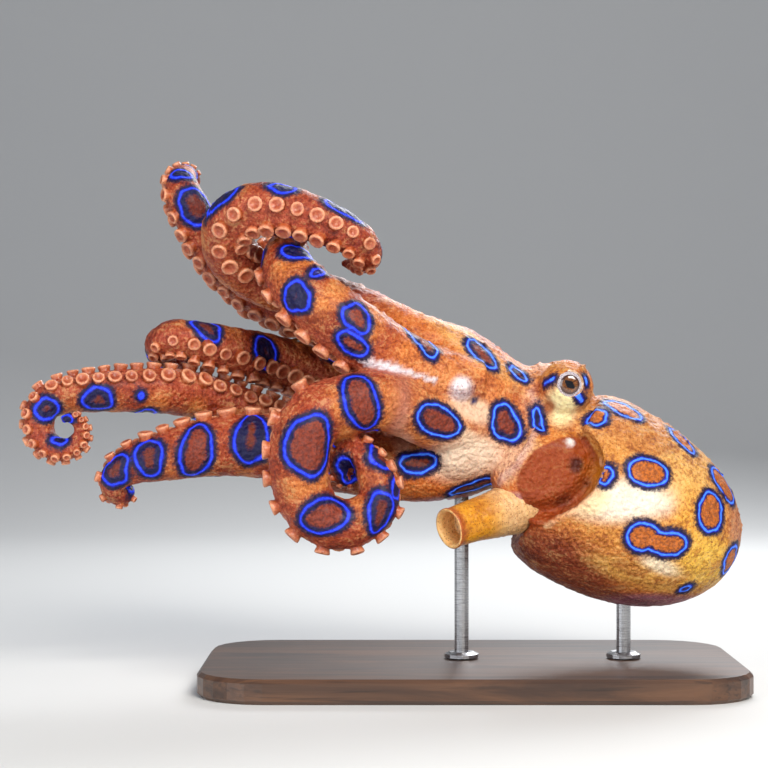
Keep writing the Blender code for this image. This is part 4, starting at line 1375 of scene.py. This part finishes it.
def addFlesh(tree, tone, light, dark, speck, patch, specks):
    # The tone and the two amounts may be plain values or other nodes' outputs.
    inputs = {"Tone": tone, "Patch amount": patch, "Speck amount": specks}
    if not isinstance(tone, bpy.types.NodeSocket):
        inputs["Tone"] = (*tone, 1.0)
    for label, colour in (("Light patches", light), ("Dark patches", dark), ("Specks", speck)):
        inputs[label] = (*colour, 1.0)
    return makeNode(tree, "ShaderNodeGroup", inputs, node_tree=fleshGroup)


def wearFlesh(tree, shader, flesh, depth):
    # The flesh group's colour goes on plain, and its height as a bump this deep.
    tree.links.new(flesh.outputs["Colour"], shader.inputs["Base Color"])
    addBump(tree, shader, flesh.outputs["Height"], depth)


def readAttribute(tree, name, output):
    return makeNode(tree, "ShaderNodeAttribute", attribute_name=name).outputs[output]


# Light patches are added as light; dark patches and specks multiply the tone.
fleshColours = {
    "light": (0.26, 0.17, 0.07),
    "dark": (0.46, 0.30, 0.26),
    "speck": (0.42, 0.24, 0.2),
    "patch": 0.85,
    "specks": 0.75,
}


def makeSkinMaterial():
    material, tree, shader = startMaterial(
        "octopusFlesh", Roughness=0.46, Subsurface_Weight=0.12, Subsurface_Scale=0.0012,
        Subsurface_Radius=(1.0, 0.4, 0.25), Coat_Weight=0.08, Coat_Roughness=0.25, IOR=1.38,
        Emission_Strength=ringLook["paintedGlow"]
    )
    lively = math2(tree, "SUBTRACT", 1.0, readAttribute(tree, "calm", "Fac"))
    flesh = addFlesh(
        tree, readAttribute(tree, "tone", "Color"), fleshColours["light"], fleshColours["dark"],
        fleshColours["speck"], math2(tree, "MULTIPLY", lively, fleshColours["patch"]),
        math2(tree, "MULTIPLY", lively, fleshColours["specks"])
    )
    rings = makeNode(tree, "ShaderNodeGroup", {
        "Flesh": flesh.outputs["Colour"], "Inside": readAttribute(tree, "inside", "Color"),
        "Dark reach": readAttribute(tree, "inside", "Alpha"),
        "Distance": readAttribute(tree, "ring", "Fac"),
        "Arm share": readAttribute(tree, "armShare", "Fac")
    }, node_tree=ringGroup)
    tree.links.new(rings.outputs["Colour"], shader.inputs["Base Color"])
    # The rings' painted glow goes out as emission
    tree.links.new(rings.outputs["Painted glow"], shader.inputs["Emission Color"])
    addBump(tree, shader, flesh.outputs["Height"], 0.0006)
    return material


paint(skin, makeSkinMaterial())
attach(skin, "root")
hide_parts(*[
    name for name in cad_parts
    if name.startswith("arm_") or name in ("mantle", "head")
])


# Each kind of cup is modelled once and copied to the places worked out above.
def addCup(name, profile, sides):
    # A circle drawn upwards and resized ring by ring, closed at the bowl's middle.
    clearSelection()
    first = profile[0]
    bpy.ops.mesh.primitive_circle_add(
        vertices=sides, radius=first[0], fill_type="NGON", location=(0.0, 0.0, first[1])
    )
    cup = named(name)
    settle(cup)
    bpy.ops.object.mode_set(mode="EDIT")
    bpy.ops.mesh.select_all(action="SELECT")
    last = first
    for radius, height in profile[1:]:
        bpy.ops.mesh.extrude_region_move(
            TRANSFORM_OT_translate={"value": (0.0, 0.0, height - last[1])}
        )
        bpy.ops.transform.resize(value=(radius / last[0], radius / last[0], 1.0))
        last = (radius, height)
    bpy.ops.mesh.select_all(action="SELECT")
    bpy.ops.mesh.normals_make_consistent(inside=False)
    bpy.ops.object.mode_set(mode="OBJECT")
    where = points(cup)
    radii = np.array([ring[0] for ring in profile])
    heights = np.array([ring[1] for ring in profile])
    far = np.hypot(where[:, 0], where[:, 1])
    order = np.abs(far[:, None] - radii[None]) + np.abs(where[:, 2][:, None] - heights[None])
    setFloats(cup, "cup", order.argmin(1) / (len(profile) - 1))
    bpy.ops.object.shade_smooth()
    return cup


def buildSuckers():
    # An arm's cups become one piece, each cup turned and sized a little differently.
    large = addCup("largeCup", suckerPlan["profile"], 12)
    small = addCup("smallCup", suckerPlan["smallProfile"], 10)
    finished = []
    for name, places in suckerSpots.items():
        copies = []
        for centre, out, heading, faces, size, radius in places:
            rim = out + heading * random.uniform(-0.12, 0.12)
            rim += heading.cross(faces) * random.uniform(-0.08, 0.08)
            turn = rim.to_track_quat("Z", "Y").to_matrix()
            source = large if size > suckerPlan["smallest"] else small
            cup = source.copy()
            cup.data = source.data.copy()
            scene.collection.objects.link(cup)
            lift = radius * 0.97 + suckerPlan["height"] * size * random.uniform(0.75, 1.15)
            stretch = Matrix.Diagonal((
                size * random.uniform(0.94, 1.06), size * random.uniform(0.94, 1.06), size * 1.05
            ))
            cup.matrix_world = (
                Matrix.Translation((centre + out * lift) * mm) @ (turn @ stretch * mm).to_4x4()
            )
            copies.append(cup)
        pick(*copies)
        bpy.ops.object.join()
        piece = named("suckers" + name[0].upper() + name[1:])
        settle(piece)
        finished.append(piece)
    bpy.data.objects.remove(large)
    bpy.data.objects.remove(small)
    return finished


def makeSuckerMaterial():
    material, tree, shader = startMaterial(
        "suckerFlesh", Roughness=0.38, Subsurface_Weight=0.25, Subsurface_Scale=0.0012,
        Subsurface_Radius=(1.0, 0.45, 0.3), Coat_Weight=0.2, Coat_Roughness=0.2, IOR=1.4
    )
    place = readAttribute(tree, "cup", "Fac")
    toRim = ramp(tree, place, 0.15, 0.5)
    tone = blendColour(tree, toRim, suckerPlan["stalkColour"], suckerPlan["rimColour"])
    tone = blendColour(tree, ramp(tree, place, 0.6, 0.85), tone, suckerPlan["bowlColour"])
    flesh = addFlesh(
        tree, tone, (0.2, 0.12, 0.06), (0.5, 0.34, 0.3), (0.5, 0.3, 0.25), 0.6, 0.4
    )
    wearFlesh(tree, shader, flesh, 0.00012)
    return material


print("placing the suckers")
suckerMaterial = makeSuckerMaterial()
for piece in buildSuckers():
    paint(piece, suckerMaterial)
    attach(piece, "root")


# Eyes: a ball with the iris drawn on it, and a pale lid round it
eyePlan = {
    "radius": 3.5,
    "seen": 2.55,        # radius of what shows between the lids
    "iris": 2.05,
    "pupil": (1.12, 0.72),   # half length and half height of the slit
    "pupilTilt": 40.0,
    "bulge": 0.35,       # how far the clear front stands out
    "lidRadius": 0.30,
    "lidGap": 0.16,      # how far the lid's middle line lies outside what shows
    "lidColour": colourOf(190, 150, 108),
    "pupilColour": (0.002, 0.002, 0.004),
    "irisDark": colourOf(36, 14, 6),
    "irisLight": colourOf(122, 66, 24),
    "irisFleck": colourOf(176, 124, 62),
    "irisRim": colourOf(60, 28, 16),
    "whiteDark": colourOf(92, 66, 60),
    "whiteLight": colourOf(222, 214, 222),
}


def addEyeball(side):
    clearSelection()
    centre = bodyPlan["eye"]
    bpy.ops.mesh.primitive_uv_sphere_add(
        segments=64, ring_count=48, radius=eyePlan["radius"] * mm, location=placed(centre, side),
        rotation=(math.pi / 2, 0.0, 0.0)
    )
    ball = named("eyeball" + ("Left" if side > 0 else "Right"))
    settle(ball)
    where = points(ball) / mm
    middle = np.array(centre) * (1, side, 1)
    aside = np.hypot(where[:, 0] - middle[0], where[:, 2] - middle[2])
    where[:, 1] += side * eyePlan["bulge"] * (1.0 - smoothStep(0.0, eyePlan["iris"], aside))
    setPoints(ball, where * mm)
    flat = (where - middle) / eyePlan["radius"]
    setColours(ball, "eyePlace", np.stack([flat[:, 0], flat[:, 2], flat[:, 1] * -side], axis=1))
    bpy.ops.object.shade_smooth()
    return ball


def makeEyeMaterial():
    material, tree, shader = startMaterial(
        "eyeGlass", Roughness=0.12, Coat_Weight=1.0, Coat_Roughness=0.02, Coat_IOR=1.5
    )
    place = makeNode(tree, "ShaderNodeSeparateXYZ", {0: readAttribute(tree, "eyePlace", "Vector")})
    across, upward = place.outputs[0], place.outputs[1]
    flat = makeNode(tree, "ShaderNodeCombineXYZ", {0: across, 1: upward}).outputs[0]
    far = makeNode(tree, "ShaderNodeVectorMath", {0: flat}, operation="LENGTH").outputs["Value"]
    turn = math.radians(eyePlan["pupilTilt"])
    along = math2(tree, "MULTIPLY_ADD", across, math.cos(turn),
                  math2(tree, "MULTIPLY", upward, -math.sin(turn)))
    over = math2(tree, "MULTIPLY_ADD", across, math.sin(turn),
                 math2(tree, "MULTIPLY", upward, math.cos(turn)))
    long, high = [value / eyePlan["radius"] for value in eyePlan["pupil"]]
    along = math2(tree, "ABSOLUTE", math2(tree, "DIVIDE", along, long))
    over = math2(tree, "ABSOLUTE", math2(tree, "DIVIDE", over, high))
    slit = math2(tree, "ADD", along, math2(tree, "POWER", over, 1.6))
    spoke = makeNode(tree, "ShaderNodeVectorMath", {0: flat}, operation="NORMALIZE").outputs[0]
    streak = noise(tree, spoke, 9.0, 5.0, 0.8)
    fleck = noise(tree, flat, 26.0, 4.0)
    streaks = ramp(tree, streak, 0.4, 0.6)
    gold = blendColour(tree, streaks, eyePlan["irisDark"], eyePlan["irisLight"])
    gold = blendColour(tree, ramp(tree, fleck, 0.55, 0.68), gold, eyePlan["irisFleck"])
    gold = blendColour(tree, ramp(tree, far, 0.36, 0.55), gold, eyePlan["irisRim"])
    edge = eyePlan["iris"] / eyePlan["radius"]
    flecks = ramp(tree, fleck, 0.42, 0.56)
    silver = blendColour(tree, flecks, eyePlan["whiteDark"], eyePlan["whiteLight"])
    colour = blendColour(tree, ramp(tree, far, edge - 0.04, edge + 0.01), gold, silver)
    rim = math2(tree, "SUBTRACT", 1.0, ramp(tree, slit, 0.98, 1.3))
    colour = blendColour(tree, rim, colour, eyePlan["pupilColour"])
    tree.links.new(colour, shader.inputs["Base Color"])
    return material


def addLid(side):
    # A soft pale ring between the skin and the ball, a little open, thicker below.
    centre = np.array(bodyPlan["eye"]) * (1, side, 1)
    line, radii = [], []
    steps = 48
    for i in range(steps + 1):
        turn = 2 * math.pi * i / steps
        reach = eyePlan["seen"] + eyePlan["lidGap"] + 0.10 * math.cos(turn - math.radians(130))
        depth = math.sqrt(eyePlan["radius"] ** 2 - reach ** 2)
        spot = centre + np.array((
            reach * math.cos(turn), -side * (depth - 0.05), reach * math.sin(turn)
        ))
        line.append(spot)
        radii.append(eyePlan["lidRadius"] + 0.06 * math.cos(turn + math.radians(60)))
    lid = addTube("eyelid" + ("Left" if side > 0 else "Right"), line, radii, 4)
    bpy.ops.object.shade_smooth()
    return lid


def makeLidMaterial():
    material, tree, shader = startMaterial(
        "eyelidFlesh", Roughness=0.3, Subsurface_Weight=0.2, Subsurface_Scale=0.001, Coat_Weight=0.4
    )
    flesh = addFlesh(
        tree, eyePlan["lidColour"], (0.5, 0.45, 0.5), (0.4, 0.26, 0.2), (0.3, 0.2, 0.15),
        0.8, 0.6
    )
    wearFlesh(tree, shader, flesh, 0.00012)
    return material


print("setting the eyes")
eyeMaterial = makeEyeMaterial()
lidMaterial = makeLidMaterial()
for side, word in ((1, "left"), (-1, "right")):
    ball, lid = addEyeball(side), addLid(side)
    for piece, material in ((ball, eyeMaterial), (lid, lidMaterial)):
        paint(piece, material)
        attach(piece, "root")
    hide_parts("eye_" + word)


# Funnel: an open tube with a rolled lip
funnelPlan = {
    "route": [(6.5, -7.5, 38.0), (1.5, -11.2, 36.4), (-3.9, -15.1, 35.0), (-9.3, -19.0, 33.6)],
    "radii": [6.0, 4.9, 4.3, 3.95],
    "wrinkles": 0.2,    # height of the folds round its root
    "wall": 0.75,
    "flare": 0.30,
    "depth": 4.2,       # how deep its mouth goes before it closes
    "around": 64,
    "rootColour": colourOf(218, 174, 122),
    "middleColour": colourOf(208, 138, 24),
    "lipColour": colourOf(170, 84, 26),
    "liningColour": colourOf(236, 184, 118),
}


def addFunnel():
    # A grid rolled into a tube: its rows run up the outside, over the lip and back inside.
    path = smoothRoute(funnelPlan, 0.25)
    along = lengthsAlong(path)
    total = along[-1]
    marks = np.linspace(0.0, total, len(funnelPlan["radii"]))
    outer = [(distance, 0.0) for distance in np.linspace(0.0, total - 0.4, 46)]
    wall = funnelPlan["wall"]
    lip = [(total - 0.1, 0.10 * wall), (total + 0.05, 0.5 * wall), (total - 0.1, 0.9 * wall)]
    floor = total - funnelPlan["depth"]
    inner = [(distance, wall) for distance in np.linspace(total - 0.4, floor, 24)]
    rows = outer + lip + inner
    clearSelection()
    bpy.ops.mesh.primitive_grid_add(
        x_subdivisions=funnelPlan["around"], y_subdivisions=len(rows) - 1, size=2.0
    )
    tube = named("funnelTube")
    flat = points(tube)
    row = np.rint((flat[:, 1] + 1.0) / 2.0 * (len(rows) - 1)).astype(int)
    turn = (flat[:, 0] + 1.0) * math.pi
    spots = np.zeros_like(flat)
    marksAlong = np.zeros(len(flat))

    def routeAt(distance):
        return np.array([np.interp(distance, along, path[:, i]) for i in range(3)])

    for number, (distance, inward) in enumerate(rows):
        these = row == number
        place, low, high = [routeAt(distance + step) for step in (0.0, -1.0, 1.0)]
        heading = (high - low) / np.linalg.norm(high - low)
        place = place + heading * max(distance - total, 0.0)
        upward = np.array((0.0, 0.0, 1.0)) - heading * heading[2]
        upward /= np.linalg.norm(upward)
        sideways = np.cross(heading, upward)
        radius = np.interp(distance, marks, funnelPlan["radii"])
        flare = funnelPlan["flare"] * smoothStep(total - 1.2, total, distance)
        creases = funnelPlan["wrinkles"] * (1.0 - smoothStep(4.0, 12.0, distance))
        radius = radius + creases * np.sin(distance * 5.2 + 0.6 * np.sin(2 * turn[these]))
        ripple = 1.0 + 0.012 * np.sin(3 * turn[these] + distance * 0.5)
        reach = ((radius + flare) * ripple - inward)[:, None]
        marksAlong[these] = distance if inward < wall * 0.5 else 99.0
        spots[these] = place + reach * (
            np.cos(turn[these])[:, None] * upward + np.sin(turn[these])[:, None] * sideways
        )
    setPoints(tube, spots * mm)
    setFloats(tube, "reach", marksAlong)
    pick(tube)
    bpy.ops.object.mode_set(mode="EDIT")
    bpy.ops.mesh.select_all(action="SELECT")
    bpy.ops.mesh.remove_doubles(threshold=0.01 * mm)
    bpy.ops.mesh.select_all(action="DESELECT")
    bpy.ops.mesh.select_mode(type="EDGE")
    bpy.ops.mesh.select_non_manifold()
    bpy.ops.mesh.fill_holes(sides=0)
    bpy.ops.mesh.select_all(action="SELECT")
    bpy.ops.mesh.normals_make_consistent(inside=False)
    bpy.ops.mesh.select_mode(type="VERT")
    bpy.ops.object.mode_set(mode="OBJECT")
    bpy.ops.object.shade_smooth()
    return tube


def makeFunnelMaterial():
    material, tree, shader = startMaterial(
        "funnelFlesh", Roughness=0.4, Subsurface_Weight=0.2, Subsurface_Scale=0.0015,
        Subsurface_Radius=(1.0, 0.5, 0.25), Coat_Weight=0.15, Coat_Roughness=0.25, IOR=1.4
    )
    reach = readAttribute(tree, "reach", "Fac")
    tone = blendColour(
        tree, ramp(tree, reach, 6.5, 13.5), funnelPlan["rootColour"], funnelPlan["middleColour"]
    )
    tone = blendColour(tree, ramp(tree, reach, 17.6, 19.4), tone, funnelPlan["lipColour"])
    tone = blendColour(tree, ramp(tree, reach, 30.0, 60.0), tone, funnelPlan["liningColour"])
    flesh = addFlesh(
        tree, tone, (0.2, 0.13, 0.03), (0.55, 0.4, 0.25), (0.34, 0.2, 0.1), 0.6, 0.9
    )
    wearFlesh(tree, shader, flesh, 0.0002)
    return material


print("shaping the funnel")
funnel = addFunnel()
paint(funnel, makeFunnelMaterial())
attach(funnel, "root")
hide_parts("funnel")


# Display stand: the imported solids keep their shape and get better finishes
standPlan = {
    "woodDark": colourOf(58, 38, 27),
    "woodLight": colourOf(98, 66, 44),
    "woodPore": colourOf(34, 21, 15),
    "steelDark": colourOf(150, 150, 152),
    "steelLight": colourOf(196, 196, 198),
}


def makeWoodMaterial():
    material, tree, shader = startMaterial(
        "satinWalnut", Roughness=0.42, Coat_Weight=0.25, Coat_Roughness=0.3
    )
    where = objectSpots(tree)
    rings = noise(tree, stretched(tree, where, (6.0, 60.0, 60.0)), 2.6, 5.0, 0.6, 1.2)
    pores = noise(tree, stretched(tree, where, (60.0, 1500.0, 1500.0)), 1.0, 3.0)
    figure = ramp(tree, rings, 0.35, 0.65)
    colour = blendColour(tree, figure, standPlan["woodDark"], standPlan["woodLight"])
    pits = ramp(tree, pores, 0.52, 0.7, 0.0, 0.6)
    colour = blendColour(tree, pits, colour, standPlan["woodPore"])
    tree.links.new(colour, shader.inputs["Base Color"])
    addBump(tree, shader, pores, 0.00006)
    return material


def makeSteelMaterial():
    material, tree, shader = startMaterial("brushedSteel", Metallic=1.0, Roughness=0.3)
    fine = stretched(tree, objectSpots(tree), (400.0, 400.0, 9000.0))
    brush = noise(tree, fine, 1.0, 3.0)
    streaks = ramp(tree, brush, 0.3, 0.7)
    colour = blendColour(tree, streaks, standPlan["steelDark"], standPlan["steelLight"])
    tree.links.new(colour, shader.inputs["Base Color"])
    tree.links.new(ramp(tree, brush, 0.3, 0.7, 0.24, 0.4), shader.inputs["Roughness"])
    return material


print("finishing the stand")
woodMaterial, steelMaterial = makeWoodMaterial(), makeSteelMaterial()
for name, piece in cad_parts.items():
    if name.startswith("stand_"):
        paint(piece, woodMaterial if name == "stand_base" else steelMaterial)


# Floor, light and camera
studioPlan = {
    "floor": colourOf(214, 214, 212),
    "floorSize": 6.0,    # metres, as are the next three
    "floorBack": 0.9,    # how far behind the animal the floor turns up
    "wallHeight": 2.5,
    "bend": 0.5,
    "aim": (-10.0, 0.0, 58.0),   # where the lamps point, in millimetres
    "sky": (0.80, 0.86, 1.0),
    "skyStrength": 0.30,
    # Name, place in millimetres, size, power in watts, colour
    "lights": [
        ("keyLight", (120, -400, 330), 240, 3.0, (1.0, 0.96, 0.9)),
        ("fillLight", (-330, -330, 120), 320, 1.2, (0.9, 0.95, 1.0)),
        ("rimLight", (120, 330, 330), 260, 1.9, (0.95, 0.97, 1.0)),
    ],
}


def buildStudio():
    clearSelection()
    bpy.ops.mesh.primitive_plane_add(size=studioPlan["floorSize"])
    floor = named("studioFloor")
    base = (*studioPlan["floor"], 1.0)
    paint(floor, startMaterial("paleFloor", Roughness=0.8, Base_Color=base)[0])
    pick(floor)
    bpy.ops.object.mode_set(mode="EDIT")
    bpy.ops.mesh.select_all(action="DESELECT")
    bpy.ops.object.mode_set(mode="OBJECT")
    for vertex in floor.data.vertices:
        if vertex.co.y > 0:
            vertex.co.y = studioPlan["floorBack"]
    for edge in floor.data.edges:
        edge.select = all(floor.data.vertices[i].co.y > 0.5 for i in edge.vertices)
    bpy.ops.object.mode_set(mode="EDIT")
    bpy.ops.mesh.select_mode(type="EDGE")
    rise = (0.0, 0.0, studioPlan["wallHeight"])
    bpy.ops.mesh.extrude_region_move(TRANSFORM_OT_translate={"value": rise})
    bpy.ops.mesh.select_mode(type="VERT")
    bpy.ops.object.mode_set(mode="OBJECT")
    bend = floor.modifiers.new("sweep", "BEVEL")
    bend.width = studioPlan["bend"]
    bend.segments = 24
    bend.limit_method = "ANGLE"
    applyAll(floor)
    bpy.ops.object.shade_smooth()

    world = bpy.data.worlds.new("studioSky")
    scene.world = world
    world.use_nodes = True
    sky = world.node_tree.nodes["Background"]
    sky.inputs[0].default_value = (*studioPlan["sky"], 1.0)
    sky.inputs[1].default_value = studioPlan["skyStrength"]
    target = Vector(studioPlan["aim"]) * mm
    for name, spot, size, power, colour in studioPlan["lights"]:
        clearSelection()
        bpy.ops.object.light_add(type="AREA", location=Vector(spot) * mm)
        lamp = bpy.context.object
        lamp.name = name
        lamp.data.size = size * mm
        lamp.data.energy = power
        lamp.data.color = colour
        lamp.rotation_euler = (target - lamp.location).to_track_quat("-Z", "Y").to_euler()

    clearSelection()
    bpy.ops.object.camera_add(
        location=Vector(cameraPlan["place"]) * mm, rotation=(math.pi / 2, 0.0, 0.0)
    )
    camera = bpy.context.object
    camera.data.sensor_width = cameraPlan["sensor"]
    camera.data.lens = -cameraPlan["place"][1] * cameraPlan["sensor"] / cameraPlan["frameWidth"]
    camera.data.clip_start = 0.01
    scene.camera = camera
    scene.view_settings.view_transform = "Standard"


print("lighting the studio")
buildStudio()
